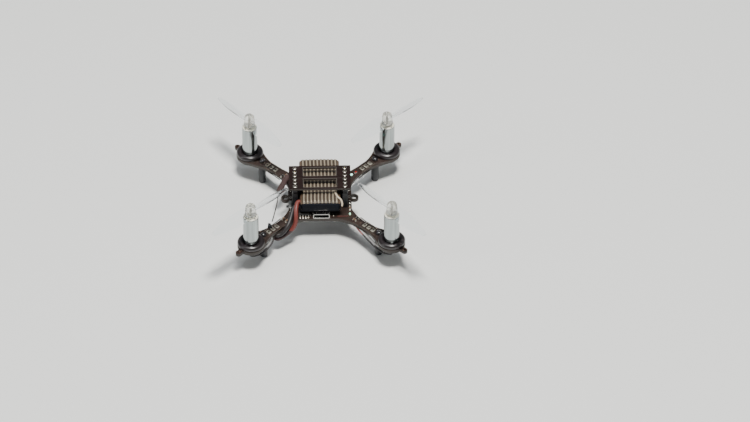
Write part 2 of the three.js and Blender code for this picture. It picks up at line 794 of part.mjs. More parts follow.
const usbShell = alongY(usbOutline(0), [new THREE.Path(usbOutline(USB.wall))], USB.front, USB.rear);
addPiece("usb_shell", usbShell, materials.steel);

const usbBlock = alongY(usbOutline(USB.wall + 0.1), [], TONGUE.root, USB.rear);
const usbBlade = box(
  [USB.x - TONGUE.halfWidth, TONGUE.front, TONGUE.low],
  [USB.x + TONGUE.halfWidth, TONGUE.root + 0.1, TONGUE.high],
);
addPiece("usb_tongue", geometryOf(joined(usbBlock, usbBlade)), materials.blackPlastic);

// ---------------------------------------------------------------- processor module

const MODULE = { halfWidth: 9, front: -8, rear: 12, thickness: 0.8 };
const SHIELD = { y: 1, width: 15.8, length: 15.6, cornerRadius: 0.8, depth: 2.5 };

const moduleTop = BOARD_BOTTOM - FIT_GAP;
const moduleUnderside = moduleTop - MODULE.thickness;
const moduleBase = box(
  [-MODULE.halfWidth, MODULE.front, moduleUnderside],
  [MODULE.halfWidth, MODULE.rear, moduleTop],
);
const moduleShield = plate(
  roundedRectangle(0, SHIELD.y, SHIELD.width, SHIELD.length, SHIELD.cornerRadius),
  [],
  moduleUnderside - SHIELD.depth + FIT_GAP,
  SHIELD.depth,
);
addPiece("processor_module", geometryOf(joined(moduleBase, moduleShield)), materials.shield);

// ---------------------------------------------------------------- power switch

// Low and high corners: the case, the slot in its outer face, and the knob at its front stop.
const SWITCH_CASE = [[-14.35, -9.1, 12.3], [-12.9, -4.3, 13.9]];
const SWITCH_SLOT = [[-15, -8.4, 12.7], [-13.6, -5, 13.5]];
const SWITCH_KNOB = [[-15.6, -8, 12.85], [-13.8, -6.8, 13.35]];

const switchBody = solid(box(...SWITCH_CASE)).subtract(solid(box(...SWITCH_SLOT)));
addPiece("power_switch_body", geometryOf(switchBody), materials.steel);
addPiece("power_switch_knob", box(...SWITCH_KNOB), materials.blackPlastic);

// ---------------------------------------------------------------- antenna

// The dark sleeve lies over the rear left arm's root, and its thin wire runs on to a clip on the
// front left arm.
const sleeveRoute = [[-14.5, 14.3, 13.2], [-16.7, 8.7, 13.25], [-18.75, 3.3, 13.2]];
addPiece("antenna_sleeve", tube(sleeveRoute, 0.7, 6, 2), materials.blackPlastic);

const antennaRoute = [[-18.9, 2.8, 13.2], [-19.8, -5.6, 13.3], [-20.9, -12.2, 13.5], [-22.1, -18.6, 13.8]];
addPiece("antenna_wire", tube(antennaRoute, 0.25, 8), materials.blackWire);

const CLIP = { left: -24.2, front: -21.4, rear: -20.4 };
const clipOutline = [[0, 0], [2.2, 0], [1.3, 2.1], [0.2, 2.3]].map(
  ([x, z]) => new THREE.Vector2(CLIP.left + x, BOARD_TOP + FIT_GAP + z),
);
addPiece("antenna_clip", alongY(clipOutline, [], CLIP.front, CLIP.rear), materials.blackPlastic);

// ---------------------------------------------------------------- status lights

const LIGHTS = [
  { name: "status_light_cyan", x: 15, y: 15.2, angle: 45, material: materials.ledCyan },
  { name: "status_light_red", x: 17, y: 17, angle: 45, material: materials.ledRed },
  { name: "status_light_green", x: 13.5, y: -12.6, angle: 90, material: materials.ledGreen },
];
for (const { name, x, y, angle, material } of LIGHTS) {
  const light = addPiece(name, box([-0.8, -0.4, 0], [0.8, 0.4, 0.7]), material);
  light.position.set(x, y, BOARD_TOP + FIT_GAP / 2);
  light.rotation.z = radians(angle);
}

export default drone;
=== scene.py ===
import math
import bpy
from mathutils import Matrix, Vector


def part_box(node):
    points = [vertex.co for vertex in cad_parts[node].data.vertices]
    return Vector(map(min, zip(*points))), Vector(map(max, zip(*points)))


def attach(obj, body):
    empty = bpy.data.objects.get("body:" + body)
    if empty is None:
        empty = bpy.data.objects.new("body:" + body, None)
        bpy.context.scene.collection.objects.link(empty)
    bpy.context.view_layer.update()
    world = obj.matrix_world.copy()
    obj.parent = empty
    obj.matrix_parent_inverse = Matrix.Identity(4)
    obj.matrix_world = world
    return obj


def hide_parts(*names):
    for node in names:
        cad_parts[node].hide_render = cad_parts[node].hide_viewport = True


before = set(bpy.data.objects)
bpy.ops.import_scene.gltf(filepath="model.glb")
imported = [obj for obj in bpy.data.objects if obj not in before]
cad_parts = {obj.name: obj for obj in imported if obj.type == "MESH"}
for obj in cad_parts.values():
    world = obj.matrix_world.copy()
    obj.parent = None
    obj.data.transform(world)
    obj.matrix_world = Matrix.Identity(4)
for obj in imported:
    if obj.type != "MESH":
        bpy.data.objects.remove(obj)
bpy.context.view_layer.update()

# A micro quadcopter on an X-shaped circuit board, dressed round its CAD frame. Shapes are worked out
# in millimetres in the CAD frame: +Z up, the front with the USB socket towards -Y.

from types import SimpleNamespace

import bmesh
import bpy
from mathutils import Matrix, Vector

MM = 0.001


def span(node):
    """Lowest and highest corner of a CAD node, in millimetres."""
    low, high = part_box(node)
    return low / MM, high / MM


def middle(node):
    low, high = span(node)
    return (low + high) / 2


# ---------------- driving sizes

CORNERS = {
    "front_right": (1, -1),
    "front_left": (-1, -1),
    "rear_right": (1, 1),
    "rear_left": (-1, 1),
}
MOTOR_AXIS = middle("motor_can_rear_right").x
LEG_AXIS = middle("landing_leg_rear_right").x
BOARD_LOW, BOARD_TOP = (corner.z for corner in span("main_board"))
DECK_LOW, DECK_TOP = (corner.z for corner in span("top_deck"))
CAN_LOW, CAN_TOP = (corner.z for corner in span("motor_can_rear_right"))
HUB_TOP = span("propeller_rear_right")[1].z
HEADER_X = middle("socket_header_right").x
PIN_PITCH = 2.54
PIN_ROWS = [(i - 2.5) * PIN_PITCH for i in range(6)]

# ---------------- camera, floor and light

VIEW_AZIMUTH = -1.137
VIEW_ELEVATION = 40.308
VIEW_ROLL = 0.552
VIEW_DISTANCE = 1813.5
VIEW_TARGET = Vector((0, 0, 15))
VIEW_LENS = 189.76
AIM_RIGHT = 25.286  # the object stands left of the picture's centre, and above it
AIM_DOWN = 8.628

STUDIO_COLOUR = (0.9, 0.95, 1, 1)
STUDIO_BRIGHTNESS = 0.19
FLOOR_SIZE = 8
FLOOR_COLOUR = (0.74, 0.75, 0.74, 1)
FLOOR_ROUGHNESS = 0.7
# name, place and size in metres, power in watts, colour
LAMPS = (
    ("key_light", (0.1, -0.32, 1.45), (0.32, 0.28), 37, (1, 0.98, 0.94)),
    ("top_light", (-0.2, 0.2, 1.5), (0.7, 0.5), 5, (0.94, 0.97, 1)),
    ("side_light", (-1.0, -0.3, 0.5), (0.2, 0.7), 2, (1, 1, 1)),
)


def add_camera():
    azimuth, elevation = math.radians(VIEW_AZIMUTH), math.radians(VIEW_ELEVATION)
    right = Vector((math.cos(azimuth), math.sin(azimuth), 0))
    level = math.cos(elevation)
    back = Vector((math.sin(azimuth) * level, -math.cos(azimuth) * level, math.sin(elevation)))
    place = VIEW_TARGET + back * VIEW_DISTANCE
    aim = VIEW_TARGET + right * AIM_RIGHT - back.cross(right) * AIM_DOWN
    ahead = (aim - place).normalized()
    side = ahead.cross(Vector((0, 0, 1))).normalized()
    axes = Matrix((side, side.cross(ahead), -ahead)).transposed()
    roll = Matrix.Rotation(math.radians(VIEW_ROLL), 3, "Z")
    data = bpy.data.cameras.new("camera")
    data.lens = VIEW_LENS
    data.clip_start, data.clip_end = 0.01, 20
    camera = bpy.data.objects.new("camera", data)
    bpy.context.scene.collection.objects.link(camera)
    camera.location = place * MM
    camera.rotation_mode = "QUATERNION"
    camera.rotation_quaternion = (axes @ roll).to_quaternion()
    bpy.context.scene.camera = camera


def add_area_light(name, place, size, power, colour):
    data = bpy.data.lights.new(name, "AREA")
    data.shape = "RECTANGLE"
    data.size, data.size_y = size
    data.energy = power
    data.color = colour
    light = bpy.data.objects.new(name, data)
    bpy.context.scene.collection.objects.link(light)
    light.location = place
    light.rotation_mode = "QUATERNION"
    light.rotation_quaternion = (-Vector(place)).to_track_quat("-Z", "Y")


def add_stage():
    world = bpy.data.worlds.new("studio")
    bpy.context.scene.world = world
    world.use_nodes = True
    background = world.node_tree.nodes["Background"]
    background.inputs["Color"].default_value = STUDIO_COLOUR
    background.inputs["Strength"].default_value = STUDIO_BRIGHTNESS
    for lamp in LAMPS:
        add_area_light(*lamp)
    bpy.ops.mesh.primitive_plane_add(size=FLOOR_SIZE)
    floor = bpy.context.object
    floor.name = "floor"
    paint = bpy.data.materials.new("floor_paint")
    paint.use_nodes = True
    shader = paint.node_tree.nodes["Principled BSDF"]
    shader.inputs["Base Color"].default_value = FLOOR_COLOUR
    shader.inputs["Roughness"].default_value = FLOOR_ROUGHNESS
    floor.data.materials.append(paint)


# ---------------- outlines


def arc(x, y, radius, start, end, steps):
    angles = [math.radians(start + (end - start) * i / steps) for i in range(steps + 1)]
    return [(x + radius * math.cos(a), y + radius * math.sin(a)) for a in angles]


def circle(x, y, radius, sides):
    return arc(x, y, radius, 0, 360, sides)[:-1]


def rounded(points, cut, steps=4):
    """The polygon with each corner turned into a small curve that starts cut before the corner."""
    result = []
    for i, point in enumerate(points):
        here = Vector(point)
        before, after = Vector(points[i - 1]), Vector(points[(i + 1) % len(points)])
        start = here + (before - here).normalized() * min(cut, (before - here).length / 2)
        end = here + (after - here).normalized() * min(cut, (after - here).length / 2)
        for k in range(steps + 1):
            t = k / steps
            result.append(tuple(start * (1 - t) ** 2 + here * 2 * t * (1 - t) + end * t * t))
    return result


def rectangle(x, y, width, height, cut=0.0, steps=4):
    a, b = width / 2, height / 2
    corners = [(x - a, y - b), (x + a, y - b), (x + a, y + b), (x - a, y + b)]
    return rounded(corners, cut, steps) if cut else corners


def inset(outline, distance):
    """The outline moved inwards by the distance, for outlines that run anticlockwise."""
    result = []
    for i, point in enumerate(outline):
        here = Vector(point)
        before = (here - Vector(outline[i - 1])).normalized()
        after = (Vector(outline[(i + 1) % len(outline)]) - here).normalized()
        normal = Vector((-before.y - after.y, before.x + after.x)).normalized()
        reach = distance / max(0.5, normal.dot(Vector((-before.y, before.x))))
        result.append(tuple(here + normal * reach))
    return result


# ---------------- solid shapes


class Shape:
    """Vertices in millimetres and faces, with a material number for each face."""

    def __init__(self, verts=(), faces=(), marks=None, mark=0):
        self.verts = [Vector(v) for v in verts]
        self.faces = [tuple(face) for face in faces]
        self.marks = list(marks) if marks else [mark] * len(self.faces)

    def add(self, other):
        start = len(self.verts)
        self.verts += other.verts
        self.faces += [tuple(i + start for i in face) for face in other.faces]
        self.marks += other.marks
        return self

    def at(self, x=0.0, y=0.0, z=0.0, turn=0.0):
        """A copy turned about Z by degrees, then moved."""
        matrix = Matrix.Translation((x, y, z)) @ Matrix.Rotation(math.radians(turn), 4, "Z")
        return Shape([matrix @ v for v in self.verts], self.faces, self.marks)

    def changed(self, matrix):
        return Shape([matrix @ v for v in self.verts], self.faces, self.marks)


def mark_faces(shape, rule):
    """Gives each face the mark that the rule works out from the face's corners."""
    shape.marks = [rule([shape.verts[k] for k in face]) for face in shape.faces]
    return shape


def combined(*shapes):
    whole = Shape()
    for shape in shapes:
        whole.add(shape)
    return whole


def turned(profile, segments=48, closed=False, mark=0):
    """A profile of (radius, z) turned about Z; an open one starts and ends on the axis."""
    verts, rings, faces = [], [], []
    for radius, z in profile:
        if radius < 1e-6:
            rings.append([len(verts)] * segments)
            verts.append((0, 0, z))
        else:
            rings.append(list(range(len(verts), len(verts) + segments)))
            turns = [2 * math.pi * i / segments for i in range(segments)]
            verts += [(radius * math.cos(a), radius * math.sin(a), z) for a in turns]
    pairs = list(zip(rings, rings[1:]))
    if closed:
        pairs.append((rings[-1], rings[0]))
    for lower, upper in pairs:
        for i in range(segments):
            j = (i + 1) % segments
            corners = [lower[i], lower[j], upper[j], upper[i]]
            face = list(dict.fromkeys(corners))
            if len(face) > 2:
                faces.append(face)
    return Shape(verts, faces, mark=mark)


def loft(rings, closed=False, mark=0):
    """Rings with equally many points, skinned; closed joins the last ring to the first."""
    count = len(rings[0])
    verts = [point for ring in rings for point in ring]
    faces = []
    pairs = [(i, i + 1) for i in range(len(rings) - 1)]
    if closed:
        pairs.append((len(rings) - 1, 0))
    for lower, upper in pairs:
        for i in range(count):
            j = (i + 1) % count
            faces.append((lower * count + i, lower * count + j, upper * count + j, upper * count + i))
    if not closed:
        faces.append(tuple(reversed(range(count))))
        faces.append(tuple(range((len(rings) - 1) * count, len(rings) * count)))
    return Shape(verts, faces, mark=mark)


def prism(outline, low, high, bevel=0.0, mark=0):
    """An outline raised from low to high along Z, its edges softened by the bevel."""

    def ring(points, z):
        return [(x, y, z) for x, y in points]

    if not bevel:
        return loft([ring(outline, low), ring(outline, high)], mark=mark)
    small, half = inset(outline, bevel), inset(outline, bevel * 0.3)
    rings = [
        ring(small, low),
        ring(half, low + bevel * 0.3),
        ring(outline, low + bevel),
        ring(outline, high - bevel),
        ring(half, high - bevel * 0.3),
        ring(small, high),
    ]
    return loft(rings, mark=mark)


def block(x, y, z, size, cut=0.0, bevel=0.05, mark=0):
    """A box with its centre at x, y and its base at z."""
    outline = rectangle(x, y, size[0], size[1], cut)
    return prism(outline, z, z + size[2], bevel, mark)


def dome(outline, z, height, steps=4, mark=0):
    """A shallow mound on an outline, like a bead of solder."""
    centre = sum((Vector(p) for p in outline), Vector((0, 0))) / len(outline)
    rings = []
    for i in range(steps + 1):
        angle = math.radians(85) * i / steps
        scale, rise = math.cos(angle), math.sin(angle)
        points = [centre + (Vector(p) - centre) * scale for p in outline]
        rings.append([(p.x, p.y, z + height * rise) for p in points])
    return loft(rings, mark=mark)


def flat_ring(x, y, inner, outer, low, high, sides=32, mark=0):
    profile = [(inner, low), (outer, low), (outer, high), (inner, high)]
    return turned(profile, sides, closed=True, mark=mark).at(x, y)


def smooth_route(points, per_span=8):
    """A smooth line through the points."""
    given = [Vector(p) for p in points]
    ends = [2 * given[0] - given[1], *given, 2 * given[-1] - given[-2]]
    route = []
    for a, b, c, d in zip(ends, ends[1:], ends[2:], ends[3:]):
        for k in range(per_span):
            t = k / per_span
            linear, square = (c - a) * t, (2 * a - 5 * b + 4 * c - d) * t * t
            cube = (3 * b - a - 3 * c + d) * t**3
            route.append((2 * b + linear + square + cube) / 2)
    route.append(given[-1])
    return route


def tube(points, radius, sides=16, squash=1.0, per_span=8, mark=0):
    """A tube along a smooth line through the points, with softened ends."""
    centres = smooth_route(points, per_span)
    last = len(centres) - 1
    side = None
    rings = []
    for i, centre in enumerate(centres):
        ahead = (centres[min(i + 1, last)] - centres[max(i - 1, 0)]).normalized()
        if side is None:
            side = ahead.cross(Vector((0, 0, 1)))
            side = side if side.length > 0.1 else Vector((1, 0, 0))
        side = (side - ahead * side.dot(ahead)).normalized()
        lift = ahead.cross(side)
        size = radius * (0.85 if i in (0, last) else 1)
        ring = []
        for k in range(sides):
            angle = 2 * math.pi * k / sides
            across = side * math.cos(angle) - lift * math.sin(angle) * squash
            ring.append(centre + across * size)
        rings.append(ring)
    return loft(rings, mark=mark)


def to_mesh(shape, name="work"):
    mesh = bpy.data.meshes.new(name)
    mesh.from_pydata([v * MM for v in shape.verts], [], shape.faces)
    mesh.polygons.foreach_set("material_index", shape.marks)
    return mesh


def from_mesh(mesh):
    verts = [v.co / MM for v in mesh.vertices]
    faces = [tuple(p.vertices) for p in mesh.polygons]
    return Shape(verts, faces, [p.material_index for p in mesh.polygons])


def tidied(shape):
    """The shape with doubled points joined and its faces pointing outwards."""
    mesh = to_mesh(shape)
    work = bmesh.new()
    work.from_mesh(mesh)
    bmesh.ops.remove_doubles(work, verts=work.verts, dist=1e-7)
    bmesh.ops.recalc_face_normals(work, faces=work.faces)
    work.to_mesh(mesh)
    work.free()
    result = from_mesh(mesh)
    bpy.data.meshes.remove(mesh)
    return result


def plate(outline, holes, low, high, bevel=0.06):
    """A flat plate with holes and softened edges."""
    curve = bpy.data.curves.new("plate", "CURVE")
    curve.dimensions = "2D"
    curve.fill_mode = "BOTH"
    curve.extrude = (high - low) / 2 - bevel
    curve.bevel_depth = bevel
    curve.bevel_resolution = 1
    curve.offset = -bevel
    for ring in (outline, *holes):
        spline = curve.splines.new("POLY")
        spline.points.add(len(ring) - 1)
        for point, (x, y) in zip(spline.points, ring):
            point.co = (x, y, 0, 1)
        spline.use_cyclic_u = True
    holder = bpy.data.objects.new("plate", curve)
    bpy.context.scene.collection.objects.link(holder)
    graph = bpy.context.evaluated_depsgraph_get()
    mesh = bpy.data.meshes.new_from_object(holder.evaluated_get(graph))
    lift = Vector((0, 0, (low + high) / 2))
    shape = Shape([v.co + lift for v in mesh.vertices], [tuple(p.vertices) for p in mesh.polygons])
    bpy.data.objects.remove(holder)
    bpy.data.curves.remove(curve)
    bpy.data.meshes.remove(mesh)
    return tidied(shape)


def boolean(first, second, operation):
    """UNION or DIFFERENCE of two closed shapes."""
    objects = []
    for shape in (first, second):
        holder = bpy.data.objects.new("work", to_mesh(tidied(shape)))
        bpy.context.scene.collection.objects.link(holder)
        objects.append(holder)
    cutter = objects[0].modifiers.new("boolean", "BOOLEAN")
    cutter.operation = operation
    cutter.solver = "EXACT"
    cutter.object = objects[1]
    graph = bpy.context.evaluated_depsgraph_get()
    mesh = bpy.data.meshes.new_from_object(objects[0].evaluated_get(graph))
    result = from_mesh(mesh)
    for holder in objects:
        data = holder.data
        bpy.data.objects.remove(holder)
        bpy.data.meshes.remove(data)
    bpy.data.meshes.remove(mesh)
    return result


def from_xz(outline, front, rear, bevel):
    """A plate outline drawn in X and Z, carried along Y from front to rear."""
    shape = plate(outline, [], front, rear, bevel)
    return Shape([Vector((v.x, v.z, v.y)) for v in shape.verts], shape.faces, shape.marks)


def add_piece(name, shape, materials, slot, body="airframe", replaces=(), sharp=38):
    """Makes the object of a piece, which rides on a CAD body and stands for CAD nodes."""
    mesh = to_mesh(tidied(shape), name)
    for material in materials if isinstance(materials, list) else [materials]:
        mesh.materials.append(material)
    mesh.shade_smooth()
    mesh.set_sharp_from_angle(angle=math.radians(sharp))
    piece = bpy.data.objects.new(name, mesh)
    bpy.context.scene.collection.objects.link(piece)
    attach(piece, body)
    if replaces:
        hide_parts(*replaces)
    return piece


def stand_in(node, shape, materials, slot, body="airframe", sharp=38):
    """The piece that takes the place of the CAD node of the same name."""
    return add_piece(node, shape, materials, slot, body, [node], sharp)


# ---------------- materials


class Finish:
    """A principled shader with its colour mottled, its gloss uneven and a fine bump. Sizes in mm."""

    def __init__(self, name, colour, roughness, metallic=0.0, **sockets):
        self.material = bpy.data.materials.new(name)
        self.material.use_nodes = True
        self.tree = self.material.node_tree
        self.shader = self.tree.nodes["Principled BSDF"]
        self.colour = colour
        self.roughness = roughness
        self.place = self.tree.nodes.new("ShaderNodeTexCoord").outputs["Object"]
        self.shader.inputs["Base Color"].default_value = (*colour, 1)
        self.shader.inputs["Roughness"].default_value = roughness
        self.shader.inputs["Metallic"].default_value = metallic
        for socket, value in sockets.items():
            self.shader.inputs[socket.replace("_", " ")].default_value = value
        self.colour_source = None
        self.height = None

    def node(self, kind, **settings):
        node = self.tree.nodes.new(kind)
        for key, value in settings.items():
            setattr(node, key, value)
        return node

    def link(self, source, target):
        self.tree.links.new(source, target)

    def noise(self, size, detail=3.0, stretch=(1, 1, 1)):
        mapping = self.node("ShaderNodeMapping")
        mapping.inputs["Scale"].default_value = stretch
        self.link(self.place, mapping.inputs["Vector"])
        noise = self.node("ShaderNodeTexNoise")
        noise.inputs["Scale"].default_value = 1 / (size * MM)
        noise.inputs["Detail"].default_value = detail
        self.link(mapping.outputs["Vector"], noise.inputs["Vector"])
        return noise.outputs["Fac"]

    def waves(self, size, direction, distortion=0.0):
        waves = self.node("ShaderNodeTexWave", bands_direction=direction)
        waves.inputs["Scale"].default_value = 0.314 / (size * MM)
        waves.inputs["Distortion"].default_value = distortion
        self.link(self.place, waves.inputs["Vector"])
        return waves.outputs["Fac"]

    def blend_colour(self, factor, colour, low=0.35, high=0.65):
        """Mixes in another colour where the factor rises from low to high."""
        ramp = self.node("ShaderNodeMapRange")
        ramp.inputs["From Min"].default_value = low
        ramp.inputs["From Max"].default_value = high
        self.link(factor, ramp.inputs["Value"])
        mix = self.node("ShaderNodeMix", data_type="RGBA")
        self.link(ramp.outputs["Result"], mix.inputs["Factor"])
        if self.colour_source is None:
            mix.inputs["A"].default_value = (*self.colour, 1)
        else:
            self.link(self.colour_source, mix.inputs["A"])
        mix.inputs["B"].default_value = (*colour, 1)
        self.colour_source = mix.outputs["Result"]
        self.link(self.colour_source, self.shader.inputs["Base Color"])
        return self

    def mottle(self, size, amount, stretch=(1, 1, 1)):
        shade = tuple(max(0, c * (1 - amount)) for c in self.colour)
        return self.blend_colour(self.noise(size, stretch=stretch), shade, 0.3, 0.7)

    def uneven_gloss(self, size, amount, stretch=(1, 1, 1)):
        spread = self.node("ShaderNodeMapRange")
        spread.inputs["From Min"].default_value = 0.3
        spread.inputs["From Max"].default_value = 0.7
        spread.inputs["To Min"].default_value = max(0.02, self.roughness - amount)
        spread.inputs["To Max"].default_value = min(1, self.roughness + amount)
        self.link(self.noise(size, stretch=stretch), spread.inputs["Value"])
        self.link(spread.outputs["Result"], self.shader.inputs["Roughness"])
        return self

    def bump(self, height, depth):
        """Adds relief from a 0 to 1 height; the depth is in millimetres."""
        bump = self.node("ShaderNodeBump")
        bump.inputs["Strength"].default_value = 1
        bump.inputs["Distance"].default_value = depth * MM
        self.link(height, bump.inputs["Height"])
        if self.height is not None:
            self.link(self.height, bump.inputs["Normal"])
        self.height = bump.outputs["Normal"]
        self.link(self.height, self.shader.inputs["Normal"])
        return self

    def grain(self, size, depth, stretch=(1, 1, 1)):
        return self.bump(self.noise(size, 2.0, stretch), depth)


def plastic(name, colour, roughness, grain=0.02, **sockets):
    made = Finish(name, colour, roughness, **sockets)
    made.mottle(3, 0.12).uneven_gloss(1.2, 0.06).grain(0.12, grain)
    return made.material


def metal(name, colour, roughness, grain=0.006, **sockets):
    made = Finish(name, colour, roughness, metallic=1.0, **sockets)
    made.mottle(1.5, 0.1).uneven_gloss(0.8, 0.07).grain(0.2, grain)
    return made.material


def laminate(name, colour, pour, roughness):
    """Solder mask over woven glass: the weave shows faintly, and so do copper areas below."""
    made = Finish(name, colour, roughness, Coat_Weight=0.08, Coat_Roughness=0.2)
    made.shader.inputs["Specular IOR Level"].default_value = 0.2
    made.blend_colour(made.noise(5, 1.0), pour, 0.48, 0.54)
    made.blend_colour(made.waves(0.42, "X"), tuple(c * 0.8 for c in colour), 0.3, 1.6)
    made.blend_colour(made.waves(0.42, "Y"), tuple(c * 0.8 for c in colour), 0.3, 1.6)
    made.uneven_gloss(0.9, 0.07)
    made.bump(made.waves(0.42, "X"), 0.004).bump(made.waves(0.42, "Y"), 0.004)
    return made.grain(0.15, 0.004).material


def light_cover(name, colour, strength):
    made = Finish(name, colour, 0.2, Emission_Color=(*colour, 1), Emission_Strength=strength)
    return made.mottle(0.4, 0.2).material


def make_materials():
    m = SimpleNamespace()
    m.board = laminate("board_mask", (0.026, 0.017, 0.014), (0.036, 0.024, 0.020), 0.42)
    m.deck = laminate("deck_mask", (0.013, 0.0065, 0.0055), (0.017, 0.008, 0.007), 0.45)
    edge = Finish("laminate_edge", (0.045, 0.038, 0.032), 0.6)
    edge.blend_colour(edge.waves(0.2, "Z", 1.5), (0.028, 0.022, 0.019)).grain(0.08, 0.03)
    m.edge = edge.material
    m.trace = plastic("trace_under_mask", (0.040, 0.028, 0.021), 0.38, 0.004, Coat_Weight=0.1)
    m.print = plastic("board_print", (0.16, 0.15, 0.13), 0.55)
    m.tin = metal("tinned_pad", (0.60, 0.57, 0.50), 0.30)
    m.pad = metal("arm_pad_tin", (0.44, 0.42, 0.35), 0.45, 0.02)
    # Dark colour for the painted shade in each arm pad's hole, and for the gap strip beside the pad.
    m.mark = plastic("pad_hole_shade_and_gap", (0.025, 0.018, 0.014), 0.5)
    m.ring = metal("aged_ring", (0.10, 0.095, 0.085), 0.42)
    m.copper = metal("tab_copper", (0.17, 0.10, 0.075), 0.42)
    m.gold = metal("gold_pin", (0.76, 0.60, 0.30), 0.24)
    m.header = plastic("header_black", (0.011, 0.011, 0.013), 0.42, 0.03)
    rubber = Finish("grommet_rubber", (0.014, 0.010, 0.011), 0.34, Coat_Weight=0.3)
    rubber.shader.inputs["Coat Roughness"].default_value = 0.22
    rubber.mottle(2.5, 0.2).uneven_gloss(2.0, 0.05).grain(0.25, 0.003)
    m.rubber = rubber.material
    can = Finish("polished_can", (0.46, 0.50, 0.50), 0.11, metallic=1.0)
    can.mottle(1.1, 0.35, (1, 1, 0.04)).uneven_gloss(0.7, 0.04, (1, 1, 0.1))
    can.grain(0.4, 0.003, (0.15, 0.15, 1))
    m.can = can.material
    # Painted highlight: a pale cream non-metal on the can's end and shoulder, for the reflection on its
    # rolled rim.
    m.can_top = plastic("can_end_painted_highlight", (0.74, 0.72, 0.62), 0.32, 0.006)
    # Painted shade: near-black for flat discs that stand for holes.
    m.dark_hole = plastic("painted_hole_shade", (0.012, 0.011, 0.010), 0.7)
    m.cap = plastic("motor_cap", (0.66, 0.63, 0.54), 0.4)
    m.shaft = metal("shaft_steel", (0.13, 0.12, 0.10), 0.3)
    m.coil = metal("coil_copper", (0.55, 0.26, 0.13), 0.32)
    clear = Finish("clear_plastic", (0.95, 0.97, 0.98), 0.10, Transmission_Weight=1.0, IOR=1.18)
    m.clear = clear.uneven_gloss(2.5, 0.03).grain(1.5, 0.004).material
    milky = Finish("milky_hub", (0.92, 0.92, 0.87), 0.16, Transmission_Weight=0.78, IOR=1.22)
    m.milky = milky.mottle(1.2, 0.08).uneven_gloss(1.5, 0.05).grain(0.8, 0.006).material
    m.leg = plastic("leg_black", (0.010, 0.012, 0.016), 0.36, 0.015)
    m.screw = plastic("leg_head_gloss", (0.010, 0.009, 0.011), 0.16, 0.004, Coat_Weight=0.5)
    rib = Finish("battery_ribs", (0.37, 0.315, 0.235), 0.40, metallic=0.3)
    rib.mottle(2.2, 0.22, (1, 0.4, 1)).mottle(0.5, 0.16).uneven_gloss(1.0, 0.1).grain(0.2, 0.02)
    m.rib = rib.material
    # Painted shade: the faces in the grooves between the ribs get a darker brown than the rib tops.
    groove = Finish("battery_grooves", (0.060, 0.042, 0.028), 0.55)
    m.groove = groove.mottle(1.2, 0.45, (1, 0.3, 1)).grain(0.15, 0.03).material
    # Painted shade: the sleeve's sides, shoulders, underside and rear take this dark brown, a shaded
    # copy of the rib colour.
    wrap = Finish("battery_sleeve_painted_shade", (0.105, 0.066, 0.040), 0.42)
    m.wrap = wrap.mottle(2.5, 0.3).uneven_gloss(1.2, 0.1).grain(0.8, 0.06).material
    m.strap = plastic("strap_film", (0.52, 0.43, 0.32), 0.35, 0.02)
    foil = Finish("pouch_foil", (0.52, 0.53, 0.55), 0.26, metallic=1.0)
    m.foil = foil.mottle(4, 0.15).grain(1.6, 0.12).grain(0.3, 0.01).material
    # Dark end tape, its colour taken down to near black as painted shade on the battery's front face; it
    # also serves as painted shade on the sleeve's lower front faces.
    tape = Finish("end_tape_and_painted_shade", (0.004, 0.005, 0.010), 0.5)
    tape.shader.inputs["Specular IOR Level"].default_value = 0.1
    m.tape = tape.mottle(2, 0.4).uneven_gloss(1.5, 0.1).grain(1.8, 0.10).material
    m.red = plastic("red_insulation", (0.15, 0.03, 0.023), 0.48, 0.012)
    # Painted shade: a dark red-brown for the red lead's lower part, where it runs under the arm.
    m.shrink = plastic("red_lead_painted_shade", (0.040, 0.018, 0.018), 0.42, 0.02)
    m.pink = plastic("pink_insulation", (0.42, 0.15, 0.13), 0.42, 0.012)
    m.black = plastic("black_insulation", (0.014, 0.011, 0.012), 0.48, 0.012)
    m.white = plastic("white_insulation", (0.66, 0.63, 0.60), 0.36, 0.012)
    m.connector = plastic("connector_nylon", (0.040, 0.038, 0.042), 0.48)
    m.steel = metal("plated_steel", (0.55, 0.55, 0.52), 0.22)
    m.shield = metal("shield_can", (0.62, 0.63, 0.63), 0.30)
    m.chip = plastic("chip_epoxy", (0.013, 0.012, 0.012), 0.5, 0.03)
    m.ceramic = plastic("capacitor_ceramic", (0.17, 0.10, 0.06), 0.4)
    m.resistor = plastic("resistor_glaze", (0.016, 0.016, 0.018), 0.25)
    m.sleeve = plastic("antenna_sleeve", (0.050, 0.028, 0.026), 0.5, 0.03)
    m.cyan = light_cover("cyan_light", (0.40, 1.0, 0.86), 3.0)
    m.red_light = light_cover("red_light", (0.35, 0.02, 0.015), 0.3)
    m.green = light_cover("green_light", (0.40, 0.95, 0.62), 1.6)
    m.led_body = plastic("light_body", (0.62, 0.62, 0.56), 0.4)
    return m


# ---------------- main board

DISC_RADIUS = 6.22
TAB_REACH = 8.1
TAB_RADIUS = 1.3
EAR_X = 15.7
EAR_RADIUS = 2.1
EAR_HOLE_RADIUS = 1.35
BODY_HALF_WIDTH = 14.5
BODY_HALF_LENGTH = 15.2
SIDE_CURVE_X, SIDE_CURVE_RADIUS = 38.1, 25.1
END_CURVE_Y, END_CURVE_RADIUS = 41, 26.9
GROMMET_HOLE_RADIUS = 4.6
TAB_HOLE_RADIUS = 0.5
SCREW_HOLE_RADIUS = 0.65
VIA_X, VIA_RADIUS = 13.4, 0.4
ARM_PAD_PLACES = (28.3, 30.9, 33.5)
TAB_END = MOTOR_AXIS + TAB_REACH / math.sqrt(2)


